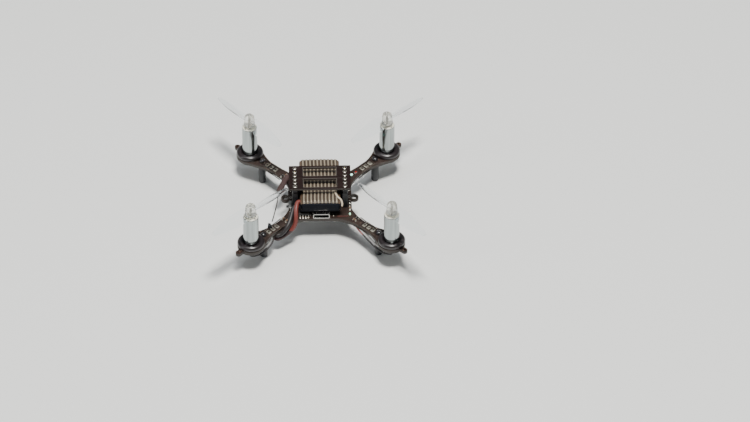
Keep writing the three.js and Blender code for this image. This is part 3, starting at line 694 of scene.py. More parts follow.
def board_outline():
    ear_meets_side = math.degrees(math.acos((BODY_HALF_WIDTH - EAR_X) / EAR_RADIUS))
    tab_half = math.degrees(math.asin(TAB_RADIUS / DISC_RADIUS))
    quarter = [
        *arc(EAR_X, 0, EAR_RADIUS, 0, ear_meets_side, 16),
        *arc(SIDE_CURVE_X, 0, SIDE_CURVE_RADIUS, 160.2, 116.3, 26),
        *arc(MOTOR_AXIS, MOTOR_AXIS, DISC_RADIUS, -63.7, 45 - tab_half, 20),
        *arc(TAB_END, TAB_END, TAB_RADIUS, -45, 135, 14),
        *arc(MOTOR_AXIS, MOTOR_AXIS, DISC_RADIUS, 45 + tab_half, 163.9, 20),
        *arc(0, END_CURVE_Y, END_CURVE_RADIUS, -16.1, -73.6, 30)[1:],
        (7.6, BODY_HALF_LENGTH),
    ]
    mirrored = [[(sx * x, sy * y) for x, y in quarter] for sx, sy in ((-1, 1), (-1, -1), (1, -1))]
    outline = [*quarter, *mirrored[0][::-1], *mirrored[1], *mirrored[2][::-1]]
    return [p for i, p in enumerate(outline) if math.dist(p, outline[i - 1]) > 0.01]


def board_holes():
    holes = []
    for sx, sy in CORNERS.values():
        holes.append(circle(sx * MOTOR_AXIS, sy * MOTOR_AXIS, GROMMET_HOLE_RADIUS, 64)[::-1])
        holes.append(circle(sx * TAB_END, sy * TAB_END, TAB_HOLE_RADIUS, 20)[::-1])
        holes.append(circle(sx * LEG_AXIS, sy * LEG_AXIS, SCREW_HOLE_RADIUS, 20)[::-1])
    for side in (-1, 1):
        holes.append(circle(side * EAR_X, 0, EAR_HOLE_RADIUS, 32)[::-1])
        holes.append(circle(side * VIA_X, 0, VIA_RADIUS, 16)[::-1])
    return holes


def mark_edges(shape):
    """Gives the upright faces of a plate mark 1, the mark of its bare edge."""

    def rule(corners):
        a, b, c = corners[:3]
        return 1 if abs((b - a).cross(c - b).normalized().z) < 0.3 else 0

    return mark_faces(shape, rule)


def strip(points, width, low, high, mark=0):
    """A flat raised line along the points, such as a trace or a printed line."""
    shape = Shape()
    for start, end in zip(points, points[1:]):
        a, b = Vector(start), Vector(end)
        length = (b - a).length + width
        turn = math.degrees(math.atan2((b - a).y, (b - a).x))
        centre = (a + b) / 2
        piece = prism(rectangle(0, 0, length, width, width * 0.45, 3), low, high, 0.0, mark)
        shape.add(piece.at(centre.x, centre.y, 0, turn))
    return shape


def arm_frame(sx, sy, along, across):
    """A point on an arm: so far from the centre along its diagonal, and across it."""
    half = math.sqrt(0.5)
    return sx * (along - across) * half, sy * (along + across) * half


def build_main_board(m):
    body = mark_edges(plate(board_outline(), board_holes(), BOARD_LOW, BOARD_TOP, 0.08))
    traces = Shape()
    for sx, sy in CORNERS.values():
        for across in (-2.15, 2.15):
            route = [arm_frame(sx, sy, d, across * s) for d, s in ((23.5, 1.15), (27, 1), (36.2, 1))]
            for level, rise in ((BOARD_TOP, 0.035), (BOARD_LOW, -0.035)):
                traces.add(strip(route, 0.55, min(level, level + rise), max(level, level + rise), 2))
        ring = flat_ring(sx * MOTOR_AXIS, sy * MOTOR_AXIS, 4.65, 5.6, BOARD_TOP, BOARD_TOP + 0.04, 64, 2)
        traces.add(ring)
    for side in (-1, 1):
        for x in (9.3, 9.9, 12.95):
            for end in (-1, 1):
                route = [(side * x, end * 8.6), (side * x, end * 12.4), (side * (x - 1.3), end * 14.2)]
                traces.add(strip(route, 0.22, BOARD_TOP, BOARD_TOP + 0.03, 2))
    stand_in("main_board", combined(body, traces), [m.board, m.edge, m.trace], "board_laminate")


def build_board_pads(m):
    pads, copper, rings, vias, prints = Shape(), Shape(), Shape(), Shape(), Shape()
    for sx, sy in CORNERS.values():
        turn = math.degrees(math.atan2(sy, sx))
        for along in ARM_PAD_PLACES:
            x, y = arm_frame(sx, sy, along, 0)
            outline = rectangle(0, 0, 1.75, 2.35, 0.45)
            pads.add(prism(outline, BOARD_TOP, BOARD_TOP + 0.05, 0.02).at(x, y, 0, turn))
            # Painted shade: a flat dark patch in the pad's middle stands for its hole.
            pad_hole_shade = rectangle(0.12, 0.1, 0.75, 1.0, 0.3)
            pads.add(prism(pad_hole_shade, BOARD_TOP + 0.05, BOARD_TOP + 0.07, 0.0, 1).at(x, y, 0, turn))
            gap = rectangle(1.3, 0, 0.4, 2.9, 0.18)
            pads.add(prism(gap, BOARD_TOP, BOARD_TOP + 0.04, 0.0, 1).at(x, y, 0, turn + 14 * sx * sy))
        for level, rise in ((BOARD_TOP, 0.05), (BOARD_LOW, -0.05)):
            low, high = sorted((level, level + rise))
            copper.add(flat_ring(sx * TAB_END, sy * TAB_END, TAB_HOLE_RADIUS, 1.05, low, high))
        corners = [arm_frame(sx, sy, a, b) for a, b in ((26.4, -1.7), (35, -1.7))]
        prints.add(strip(corners, 0.12, BOARD_TOP + 0.035, BOARD_TOP + 0.06))
    for side in (-1, 1):
        for level, rise in ((BOARD_TOP, 0.04), (BOARD_LOW, -0.04)):
            low, high = sorted((level, level + rise))
            vias.add(flat_ring(side * VIA_X, 0, VIA_RADIUS, 0.72, low, high, 24))
            rings.add(flat_ring(side * EAR_X, 0, EAR_HOLE_RADIUS, 1.75, low, high, 40))
    add_piece("arm_pads", pads, [m.pad, m.mark], "usb_steel")
    add_piece("tab_rings", copper, m.copper, "header_pins")
    add_piece("ear_rings", rings, m.ring, "usb_steel")
    add_piece("ear_vias", vias, m.tin, "usb_steel")
    add_piece("arm_print", prints, m.print, "white_wire")


# ---------------- small parts on the board


def chip_part(length, width, height):
    """A chip resistor or capacitor along X, with its two metal ends."""
    end = length * 0.22
    shape = block(0, 0, 0.02, (length - 2 * end, width * 0.94, height * 0.95), 0, 0.02)
    for side in (-1, 1):
        x = side * (length - end) / 2
        shape = combined(shape, block(x, 0, 0, (end, width, height), 0.05, 0.03, 1))
        shoe = rectangle(side * (length / 2 + 0.1), 0, 0.5, width * 1.15, 0.1)
        shape.add(dome(shoe, 0, height * 0.45, 3, 1))
    return shape


def gull_lead(width, reach, height):
    """One bent lead that leaves a chip along +X and comes down to the board."""
    line = [(0, height), (reach * 0.3, height), (reach * 0.55, 0.12), (reach, 0.06)]
    thick = 0.13
    rings = []
    for x, z in line:
        half = width / 2
        rings.append([(x, -half, z - thick / 2), (x, half, z - thick / 2), (x, half, z + thick / 2),
                      (x, -half, z + thick / 2)])
    lead = loft(rings, mark=1)
    foot = dome(rectangle(reach * 0.95, 0, 0.75, width * 1.7, 0.15), 0, 0.16, 3, 1)
    return combined(lead, foot)


def leaded_chip(length, width, height, leads, pitch, lead_width, reach):
    """A chip with bent leads on both long sides, which run along Y."""
    shape = block(0, 0, 0.1, (width, length, height - 0.1), 0.08, 0.1)
    for i in range(leads):
        y = (i - (leads - 1) / 2) * pitch
        lead = gull_lead(lead_width, reach, height * 0.5)
        shape.add(lead.at(width / 2 - 0.05, y))
        shape.add(lead.at(-width / 2 + 0.05, y, 0, 180))
    dot = turned([(0, 0), (0.22, 0), (0.22, 0.03), (0, 0.03)], 16, mark=1)
    shape.add(dot.at(-width / 2 + 0.6, length / 2 - 0.6, height - 0.01))
    return shape


def transistor(scale=1.0):
    """A small three-lead transistor: two leads towards -X, one towards +X."""
    shape = block(0, 0, 0.08, (1.3, 2.9, 0.95), 0.06, 0.08)
    for y in (-0.95, 0.95):
        shape.add(gull_lead(0.42, 0.65, 0.5).at(-0.6, y, 0, 180))
    shape.add(gull_lead(0.42, 0.65, 0.5).at(0.6, 0))
    return Shape([v * scale for v in shape.verts], shape.faces, shape.marks)


def under(shape):
    """A part made to stand on the board, hung from its underside instead."""
    flip = Matrix.Translation((0, 0, BOARD_LOW)) @ Matrix.Rotation(math.pi, 4, "X")
    return shape.changed(flip)


def build_small_parts(m):
    resistors, capacitors, transistors = Shape(), Shape(), Shape()
    small = chip_part(1.6, 0.8, 0.45)
    tiny = chip_part(1.0, 0.5, 0.35)
    tall = chip_part(1.6, 0.85, 0.8)
    top = BOARD_TOP
    for x, y, turn in ((13.6, -3.9, 90), (-13.6, -11.0, 90), (-13.5, -13.1, 90), (13.6, -6.2, 90),
                       (16.9, -15.3, -45), (-17.1, 15.4, 45), (12.1, 14.2, 0), (-12.1, 14.2, 0)):
        resistors.add(small.at(x, y, top, turn))
    for x, y, turn in ((6.0, -12.7, 90), (-4.4, -12.0, 90), (13.4, 5.0, 90),
                       (-13.4, 5.0, 90), (13.4, 7.4, 90), (-13.4, 7.4, 90), (13.4, 11.4, 90)):
        resistors.add(tiny.at(x, y, top, turn))
    for x, y, turn in ((13.6, -8.6, 90), (15.5, -16.7, -45), (-15.4, -16.6, 45), (-17.0, -15.1, 45),
                       (-15.3, 15.5, 45), (9.6, 13.4, 90), (-9.6, 13.4, 90)):
        capacitors.add(tall.at(x, y, top, turn))
    for sx, sy in CORNERS.values():
        x, y = arm_frame(sx, sy, 18.7, 0)
        if sy > 0:
            transistors.add(transistor().at(x, y, top, math.degrees(math.atan2(sy, sx))))
    for x, y in ((-6.5, 13.6), (6.5, 13.6), (-11.2, -6.2), (11.2, -6.2), (11.3, 4), (-11.3, 4)):
        capacitors.add(under(tall.at(x, y, 0, 90)))
        resistors.add(under(tiny.at(x + 1.5, y, 0, 90)))
        resistors.add(under(tiny.at(x - 1.5, y, 0, 90)))
    for x, y in ((-12, -10.5), (-12, 10.5), (12, -10.5), (12, 10.5)):
        transistors.add(under(transistor(1.1).at(x, y, 0, 0 if x > 0 else 180)))
    add_piece("chip_resistors", resistors, [m.resistor, m.tin], "black_plastic")
    add_piece("chip_capacitors", capacitors, [m.ceramic, m.tin], "antenna_sleeve")
    add_piece("motor_transistors", transistors, [m.chip, m.tin], "black_plastic")
    charger = leaded_chip(4.9, 3.9, 1.5, 4, 1.27, 0.42, 1.15).at(-7.38, -11.4, BOARD_TOP, 90)
    add_piece("charger_chip", charger, [m.chip, m.tin], "black_plastic")
    add_piece("link_wire", block(10.2, -13.8, BOARD_TOP, (5.2, 0.28, 0.26), 0.1, 0.1), m.red, "red_wire")
    sensor = block(0, 0, 0, (4, 4, 0.9), 0.15, 0.05)
    for side in range(4):
        for i in range(6):
            pad = block(2.02, (i - 2.5) * 0.5, 0, (0.16, 0.25, 0.25), 0, 0.01, 1)
            sensor.add(pad.at(0, 0, 0, side * 90))
    add_piece("motion_sensor", under(sensor.at(0, -12)), [m.chip, m.tin], "black_plastic")
    regulator = leaded_chip(4.9, 3.9, 1.4, 4, 1.27, 0.42, 1.1).at(0, 3.5, BOARD_TOP)
    add_piece("driver_chip", regulator, [m.chip, m.tin], "black_plastic")


def build_status_lights(m):
    for colour, cover, turn in (("cyan", m.cyan, 45), ("red", m.red_light, 45), ("green", m.green, 90)):
        node = f"status_light_{colour}"
        centre = middle(node)
        base = block(0, 0, 0, (1.0, 0.78, 0.35), 0.05, 0.03, 1)
        lens = block(0, 0, 0.35, (0.95, 0.74, 0.35), 0.15, 0.1, 0)
        shape = combined(base, lens)
        for side in (-1, 1):
            shape.add(block(side * 0.62, 0, 0, (0.3, 0.74, 0.3), 0.04, 0.03, 2))
        placed = shape.at(centre.x, centre.y, BOARD_TOP, turn)
        stand_in(node, placed, [cover, m.led_body, m.tin], f"light_{colour}")


# ---------------- top deck and headers


SLOT_MIDDLE = 4.0
SLOT_SIZE = (14.9, 5.8)


def build_top_deck(m):
    low, high = span("top_deck")
    outline = rectangle(0, 0, high.x - low.x, high.y - low.y, 0.25)
    slots = [rectangle(0, side * SLOT_MIDDLE, *SLOT_SIZE, 0.3)[::-1] for side in (-1, 1)]
    pins = [circle(side * HEADER_X, y, 0.52, 20)[::-1] for side in (-1, 1) for y in PIN_ROWS]
    body = mark_edges(plate(outline, [*slots, *pins], DECK_LOW, DECK_TOP, 0.07))
    stand_in("top_deck", body, [m.deck, m.edge], "deck_laminate")

    pads = Shape()
    for side in (-1, 1):
        for i, y in enumerate(PIN_ROWS):
            x = side * HEADER_X
            for level, rise in ((DECK_TOP, 0.06), (DECK_LOW, -0.05)):
                bottom, top = sorted((level, level + rise))
                if side < 0 and i == 0 and rise > 0:  # the first pin's pad is square
                    ring = plate(rectangle(x, y, 1.9, 1.9, 0.12), [circle(x, y, 0.5, 24)[::-1]],
                                 bottom, top, 0.02)
                    pads.add(ring)
                else:
                    pads.add(flat_ring(x, y, 0.5, 0.98, bottom, top))
            profile = [(0.5, DECK_TOP + 0.05), (0.86, DECK_TOP + 0.05), (0.74, DECK_TOP + 0.16),
                       (0.56, DECK_TOP + 0.2)]
            pads.add(turned(profile, 32, closed=True).at(x, y))
    add_piece("deck_pads", pads, m.tin, "usb_steel")

    prints = Shape()
    for side in (-1, 1):
        frame_points = rectangle(0, side * SLOT_MIDDLE, SLOT_SIZE[0] + 0.4, SLOT_SIZE[1] + 0.4)
        prints.add(strip([*frame_points, frame_points[0]], 0.12, DECK_TOP, DECK_TOP + 0.03))
    add_piece("deck_print", prints, m.print, "white_wire")


def strip_outline(x):
    """The outline of a pin strip: six cells with a notch between neighbours."""
    half, notch = 1.25, 0.32
    right = []
    for y in PIN_ROWS:
        right += [(x + half - notch, y - 1.27), (x + half, y - 1.27 + notch),
                  (x + half, y + 1.27 - notch), (x + half - notch, y + 1.27)]
    left = [(2 * x - px, py) for px, py in reversed(right)]
    points = right + left
    return [p for i, p in enumerate(points) if math.dist(p, points[i - 1]) > 0.01]


def build_headers(m):
    for side, sx in (("left", -1), ("right", 1)):
        node = f"socket_header_{side}"
        low, high = span(node)
        x = sx * HEADER_X
        outline = rectangle(x, 0, high.x - low.x, high.y - low.y, 0.1)
        holes = [rectangle(x, y, 1.0, 1.0)[::-1] for y in PIN_ROWS]
        socket = plate(outline, holes, low.z, high.z, 0.08)
        stand_in(node, socket, m.header, "black_plastic", sharp=30)
        node = f"pin_header_{side}"
        bottom = high.z + 0.1
        body = prism(strip_outline(x), bottom, DECK_LOW - 0.1, 0.06)
        pins = Shape()
        for y in PIN_ROWS:
            pin = prism(rectangle(x, y, 0.62, 0.62, 0.05), span(node)[0].z, DECK_TOP - 0.3, 0.12, 1)
            pins.add(pin)
        stand_in(node, combined(body, pins), [m.header, m.gold], "header_pins", sharp=30)
    joints = Shape()
    for sx in (-1, 1):
        for y in PIN_ROWS:
            profile = [(0, -1.2), (0.24, -1.15), (0.3, -0.55), (0.5, -0.25), (0.9, 0), (0, 0)]
            joints.add(turned(profile, 20).at(sx * HEADER_X, y, BOARD_LOW))
    add_piece("header_joints", joints, m.tin, "usb_steel")


# ---------------- motors, grommets, propellers


def grommet_profile():
    """The rubber ring: a flange below the board, a groove at it, and a round collar above."""
    bore, base = 3.53, BOARD_TOP + 0.12
    ring, level, thick = 4.85, 13.05, 1.4
    start = math.degrees(math.asin((base - level) / thick))
    end = math.degrees(math.acos((bore - ring) / thick))
    collar = arc(ring, level, thick, start, end, 24)
    return [
        (bore, 9.35), (bore + 0.15, 9.2), (4.9, 9.2), (5.2, 9.3), (5.3, 9.6), (5.3, 10.1),
        (5.2, 10.3), (4.42, 10.35), (4.42, base), *collar,
    ]


def can_profile():
    """The drawn can: an open lower edge, a rolled shoulder and a flat end with a bearing boss."""
    outer, inner = 3.5, 3.2
    shoulder = [(outer - 0.45 + 0.45 * math.cos(a), CAN_TOP - 0.45 + 0.45 * math.sin(a))
                for a in (math.radians(x) for x in (0, 22, 45, 68, 90))]
    return [
        (inner, CAN_LOW + 0.05), (inner + 0.05, CAN_LOW), (outer - 0.06, CAN_LOW),
        (outer, CAN_LOW + 0.06), *shoulder, (2.25, CAN_TOP), (2.15, CAN_TOP - 0.12),
        (1.55, CAN_TOP - 0.12), (1.45, CAN_TOP - 0.02), (1.4, CAN_TOP + 0.28), (1.28, CAN_TOP + 0.36),
        (0.72, CAN_TOP + 0.36), (0.68, CAN_TOP + 0.3), (0.68, 12.0), (2.1, 12.0),
        (2.1, CAN_TOP - 0.5), (inner, CAN_TOP - 0.5),
    ]


def radii(corners):
    return [math.hypot(corner.x, corner.y) for corner in corners]


def can_mark(corners):
    """Mark 1 for the can's end face and upper shoulder, painted pale cream as a painted highlight for
    the light reflected on the rolled rim.
    """
    on_top = min(corner.z for corner in corners) > CAN_TOP - 0.47
    return 1 if on_top and max(radii(corners)) < 3.4 and min(radii(corners)) > 0.69 else 0


def build_motor(m, corner, grommet, can, cap, rotor):
    sx, sy = CORNERS[corner]
    x, y = sx * MOTOR_AXIS, sy * MOTOR_AXIS
    inward = math.degrees(math.atan2(-sy, -sx))
    stand_in(f"grommet_{corner}", grommet.at(x, y), m.rubber, "grommet_rubber")
    stand_in(f"motor_can_{corner}", can.at(x, y, 0, inward), [m.can, m.can_top, m.dark_hole],
              "motor_can_metal")
    stand_in(f"motor_end_cap_{corner}", cap.at(x, y, 0, inward), [m.cap, m.tin],
              "motor_cap_plastic")
    stand_in(f"motor_rotor_{corner}", rotor.at(x, y), [m.shaft, m.coil], "shaft_steel",
              body=f"propeller_assembly_{corner}")


def build_motors(m):
    grommet = turned(grommet_profile(), 72, closed=True)
    can = mark_faces(turned(can_profile(), 72, closed=True), can_mark)
    # Painted shade: two flat near-black discs on the can's end stand for its small vent holes.
    for side in (-1, 1):
        dimple = turned([(0, 0), (0.34, 0), (0.34, 0.015), (0, 0.015)], 20, mark=2)
        can.add(dimple.at(0, side * 2.75, CAN_TOP))
    cap = turned(
        [(0, 7.85), (0.9, 7.8), (1.0, 8.0), (1.6, 8.0), (1.7, 7.8), (3.25, 7.8), (3.4, 7.9),
         (3.4, 8.3), (3.1, 8.35), (3.1, 9.6), (0.7, 9.6), (0.7, 8.6), (0, 8.6)], 56)
    for offset in (-0.92, 0.88):
        cap.add(turned([(0, 7.45), (0.42, 7.5), (0.62, 7.8), (0, 7.85)], 20, mark=1).at(offset, 0.02))
    top = span("motor_rotor_rear_right")[1].z
    shaft = turned([(0, 8.8), (0.5, 8.8), (0.5, top - 0.1), (0.42, top), (0, top)], 32)
    coil = turned([(0.45, 10.4), (2.9, 10.4), (2.9, 26.5), (2.5, 26.5), (2.5, 11), (0.45, 11)],
                  48, closed=True, mark=1)
    for corner in CORNERS:
        build_motor(m, corner, grommet, can, cap, combined(shaft, coil))


BLADE_ROOT = 1.4
PROPELLER_RADIUS = 23.0
BLADE_LEVEL = 31.4
HUB_RADIUS = 2.6
HUB_LOW = 29.5
BORE_RADIUS = 0.58
BORE_TOP = 34.15
PROPELLER_TURN = {"front_right": -52, "rear_left": -52, "front_left": 43, "rear_right": 43}
PROPELLER_SPIN = {"front_right": 1, "rear_left": 1, "front_left": -1, "rear_right": -1}


def blade_station(fraction):
    """Chord, thickness and pitch in degrees at a fraction of the blade's length."""
    swell = math.sin(math.pi * min(1, 0.16 + 0.84 * fraction) ** 0.8)
    tip = math.sqrt(max(0, 1 - max(0, (fraction - 0.82) / 0.2) ** 2))
    return (2.2 + 4.4 * swell) * (0.25 + 0.75 * tip), 0.95 - 0.6 * fraction, 34 - 22 * fraction


def blade(spin, stations=44, around=20):
    """One blade along +X; spin 1 lifts the edge that faces +Y, and -1 is its mirror image."""
    rings = []
    for k in range(stations):
        fraction = 1 - (1 - k / (stations - 1)) ** 1.35
        chord, thickness, pitch = blade_station(fraction)
        x = BLADE_ROOT + (PROPELLER_RADIUS - BLADE_ROOT) * fraction
        c, s = math.cos(math.radians(pitch)), math.sin(math.radians(pitch))
        ring = []
        for i in range(around):
            angle = 2 * math.pi * i / around
            along = chord / 2 * math.cos(angle)
            plump = thickness / 2 * (1 + 0.35 * math.cos(angle)) * 0.8
            across = plump * math.sin(angle) + 0.06 * chord * (1 - math.cos(angle) ** 2)
            ring.append((x, spin * (along * c - across * s), BLADE_LEVEL + along * s + across * c))
        rings.append(ring)
    return loft(rings)


def propeller(spin):
    """Two blades on a bell-shaped hub; the hub's faces have mark 1."""
    bell = [(HUB_RADIUS, HUB_LOW + 0.25), (HUB_RADIUS, 30.5), (2.45, 31.6), (2.33, 32.6)]
    cap = [(1.3 + 1.0 * math.cos(a), HUB_TOP - 1.5 + 1.5 * math.sin(a))
           for a in (math.radians(x) for x in range(0, 100, 15))]
    hub = turned([(0, HUB_LOW), (2.4, HUB_LOW), *bell, *cap, (0, HUB_TOP)], 56)
    bladed = boolean(hub, blade(spin), "UNION")
    bladed = boolean(bladed, blade(spin).at(turn=180), "UNION")
    below = HUB_LOW - 0.5
    bore_cut = turned([(0, below), (BORE_RADIUS, below), (BORE_RADIUS, BORE_TOP), (0, BORE_TOP)], 32)
    made = boolean(bladed, bore_cut, "DIFFERENCE")
    return mark_faces(made, lambda corners: 1 if max(radii(corners)) < HUB_RADIUS + 0.06 else 0)


def build_propellers(m):
    made = {spin: propeller(spin) for spin in (-1, 1)}
    for corner, (sx, sy) in CORNERS.items():
        shape = made[PROPELLER_SPIN[corner]]
        placed = shape.at(sx * MOTOR_AXIS, sy * MOTOR_AXIS, 0, PROPELLER_TURN[corner])
        node = f"propeller_{corner}"
        stand_in(node, placed, [m.clear, m.milky], "clear_plastic", f"propeller_assembly_{corner}")


# ---------------- legs


def build_legs(m):
    leg = turned(
        [(0, 0), (0.9, 0), (1.22, 0.1), (1.52, 0.35), (1.7, 0.8), (1.75, 1.3), (1.75, 10.15),
         (1.65, 10.3), (0, 10.3)], 48)
    low, high = span("leg_screw_rear_right")
    head_low, head_top, radius = BOARD_TOP + 0.02, high.z, (high.x - low.x) / 2
    crown = [(radius * math.cos(a), head_low + 0.3 + (head_top - head_low - 0.3) * math.sin(a))
             for a in (math.radians(x) for x in range(0, 90, 12))]
    screw = turned([(0, 9), (0.45, 9), (0.45, head_low), (radius * 0.92, head_low), *crown,
                    (0, head_top)], 40)
    for corner, (sx, sy) in CORNERS.items():
        x, y = sx * LEG_AXIS, sy * LEG_AXIS
        stand_in(f"landing_leg_{corner}", leg.at(x, y), m.leg, "leg_plastic")
        stand_in(f"leg_screw_{corner}", screw.at(x, y), m.screw, "screw_head")


# ---------------- wires

INNER_ROUTE = [
    (17.2, 18.2, 10), (19.1, 20.4, 9.3), (21, 22.8, 8.6), (22.6, 25.3, 8.2), (24.2, 27.8, 7.8),
    (27.9, 30.9, 7), (30.4, 31.8, 6.8), (30.9, 31.8, 7.6),
]
OUTER_ROUTE = [
    (16, 18.2, 10), (17.7, 20.6, 9), (20.8, 24.2, 7.5), (24, 28.6, 6.6), (27.6, 31.9, 5.9),
    (31.2, 33.2, 5.8), (32.6, 32.6, 6.5), (32.7, 31.8, 7.6),
]
INNER_SHORT_ROUTE = [(23, 22.8, 10), (23, 25, 8.7), *INNER_ROUTE[4:]]
OUTER_SHORT_ROUTE = [(21.7, 23.4, 10), (21.9, 25.6, 8.2), *OUTER_ROUTE[3:]]

CONNECTOR_JOINT = Vector((-13.2, -12, 0))
CONNECTOR_ANGLE = 60
LEAD_OFFSET = 1.15
LEAD_RADIUS = 1.0
MOTOR_WIRE_RADIUS = 0.4
LEAD_SHADE_TOP = 9.6  # the red lead is painted darker below this level: painted shade where it runs under the arm


def plug_entry(offset, distance):
    """A point behind the plug's outer face, where a lead comes in."""
    place = Vector((-4.35 - distance, offset, 8.7))
    return CONNECTOR_JOINT + Matrix.Rotation(math.radians(CONNECTOR_ANGLE), 3, "Z") @ place


RED_LEAD = [
    (-9.2, -10.4, 18.5), (-10.4, -11.3, 18.5), (-11.1, -14.2, 17.5), (-11.2, -16.8, 15),
    (-11.6, -18.2, 12), (-13, -19.2, 9.6), (-15.1, -20.2, 8), (-17.6, -21.9, 7.3),
    (-19.6, -22.8, 7), (-20.9, -21.7, 6.9), (-20.2, -19.6, 7.1), (-18.4, -17.9, 7.9),
    plug_entry(LEAD_OFFSET, 1.4), plug_entry(LEAD_OFFSET, 0),
]
BLACK_LEAD = [
    (-9.2, -10.4, 16.2), (-10.6, -10.9, 16.2), (-12.2, -12.2, 16.2), (-13.1, -15.2, 15.2),
    (-13.9, -18, 14), (-15, -20.3, 12.6), (-16.4, -21.8, 11), (-18.3, -22.7, 9.5),
    (-20.2, -22.8, 9.1), (-21, -21.5, 9.1), (-19.4, -20.1, 9.1), (-17.1, -19.2, 9),
    plug_entry(-LEAD_OFFSET, 1.4), plug_entry(-LEAD_OFFSET, 0),
]


def build_wires(m):
    solder = Shape()
    for corner, (sx, sy) in CORNERS.items():
        short = corner == "front_left"
        routes = {
            "inner": (INNER_SHORT_ROUTE if short else INNER_ROUTE, m.white, "white_wire"),
            "outer": (OUTER_SHORT_ROUTE if short else OUTER_ROUTE, m.black, "black_wire"),
        }
        for side, (route, material, slot) in routes.items():
            points = [(sx * x, sy * y, z) for x, y, z in route]
            node = f"motor_wire_{side}_{corner}"
            wire = tube(points, MOTOR_WIRE_RADIUS)
            stub = len(wire.faces) // 5 if corner == "front_right" else 0
            wire.marks[:stub] = [1] * stub
            stand_in(node, wire, [material, m.pink], slot)
            x, y, _ = points[0]
            bead = dome(circle(0, 0, 0.75, 20), 0, 0.7, 5)
            solder.add(under(bead).at(x, y))
    add_piece("wire_joints", solder, m.tin, "usb_steel")
    red = tube(RED_LEAD, LEAD_RADIUS, 24)
    # Painted shade: the red lead's faces low down, under the arm, take the darker colour.
    mark_faces(red, lambda corners: 1 if max(corner.z for corner in corners) < LEAD_SHADE_TOP else 0)
    stand_in("battery_lead_red", red, [m.red, m.shrink], "red_wire")
    stand_in("battery_lead_black", tube(BLACK_LEAD, LEAD_RADIUS, 24), m.black, "black_wire")


def build_connector(m):
    joint, turn = CONNECTOR_JOINT, CONNECTOR_ANGLE
    plug = block(-2.25, 0, 7.3, (4.2, 4.5, 2.8), 0.2, 0.15)
    for offset in (-LEAD_OFFSET, LEAD_OFFSET):
        plug.add(block(-3.0, offset, 10.0, (1.6, 0.7, 0.14), 0, 0.03, 1))
    for offset in (-2.1, 2.1):
        plug.add(block(-2.0, offset, 8.2, (2.4, 0.35, 1.0), 0.1, 0.08))
    stand_in("battery_plug", plug.at(joint.x, joint.y, 0, turn), [m.connector, m.gold],
              "connector_plastic")
    shell = block(1.55, 0, 6.95, (2.8, 4.8, 3.4), 0.15, 0.12)
    for offset in (-2.35, 2.35):
        shell.add(block(1.3, offset, 9.6, (1.5, 0.5, 0.85), 0.08, 0.04, 1))
    stand_in("battery_socket", shell.at(joint.x, joint.y, 0, turn), [m.connector, m.tin],
              "connector_plastic")


# ---------------- battery

RIB_PITCH = 1.66
RIB_COUNT = 10
RIB_HEIGHT = 0.42
FRONT_BOW, BOW_LENGTH = 0.55, 5  # the front end of the top bulges forward of its corners
BOW_LEVEL = 19
TOP_CROWN = 0.35  # how far the top falls away at its sides


def rib_phase(x):
    """1 on the crest of a rib, -1 in the groove between two."""
    return math.cos(2 * math.pi * (x / RIB_PITCH + 0.5))


def sleeve_ring(y, half, low, top, ribs, squeeze):
    """The sleeve's section at one Y: round lower corners, round shoulders and a ribbed top."""
    corner, shoulder = 1.2, 1.5
    base = top - RIB_HEIGHT - squeeze
    edge_z = base - TOP_CROWN - shoulder
    points = [
        *arc(-half + corner, low + corner, corner, 180, 270, 7),
        *arc(half - corner, low + corner, corner, 270, 360, 7),
        *arc(half - shoulder, edge_z, shoulder, 0, 62, 6),
    ]
    steps = RIB_COUNT * 10
    reach = RIB_COUNT * RIB_PITCH / 2
    for i in range(steps + 1):
        x = reach - 2 * reach * i / steps
        phase = rib_phase(x)
        rise = ribs * RIB_HEIGHT * (0.5 + 0.5 * math.copysign(abs(phase) ** 0.6, phase))
        points.append((x, base - TOP_CROWN * (x / half) ** 2 + rise))
    points += arc(-half + shoulder, edge_z, shoulder, 118, 180, 6)
    return [(px, y, pz) for px, pz in points]


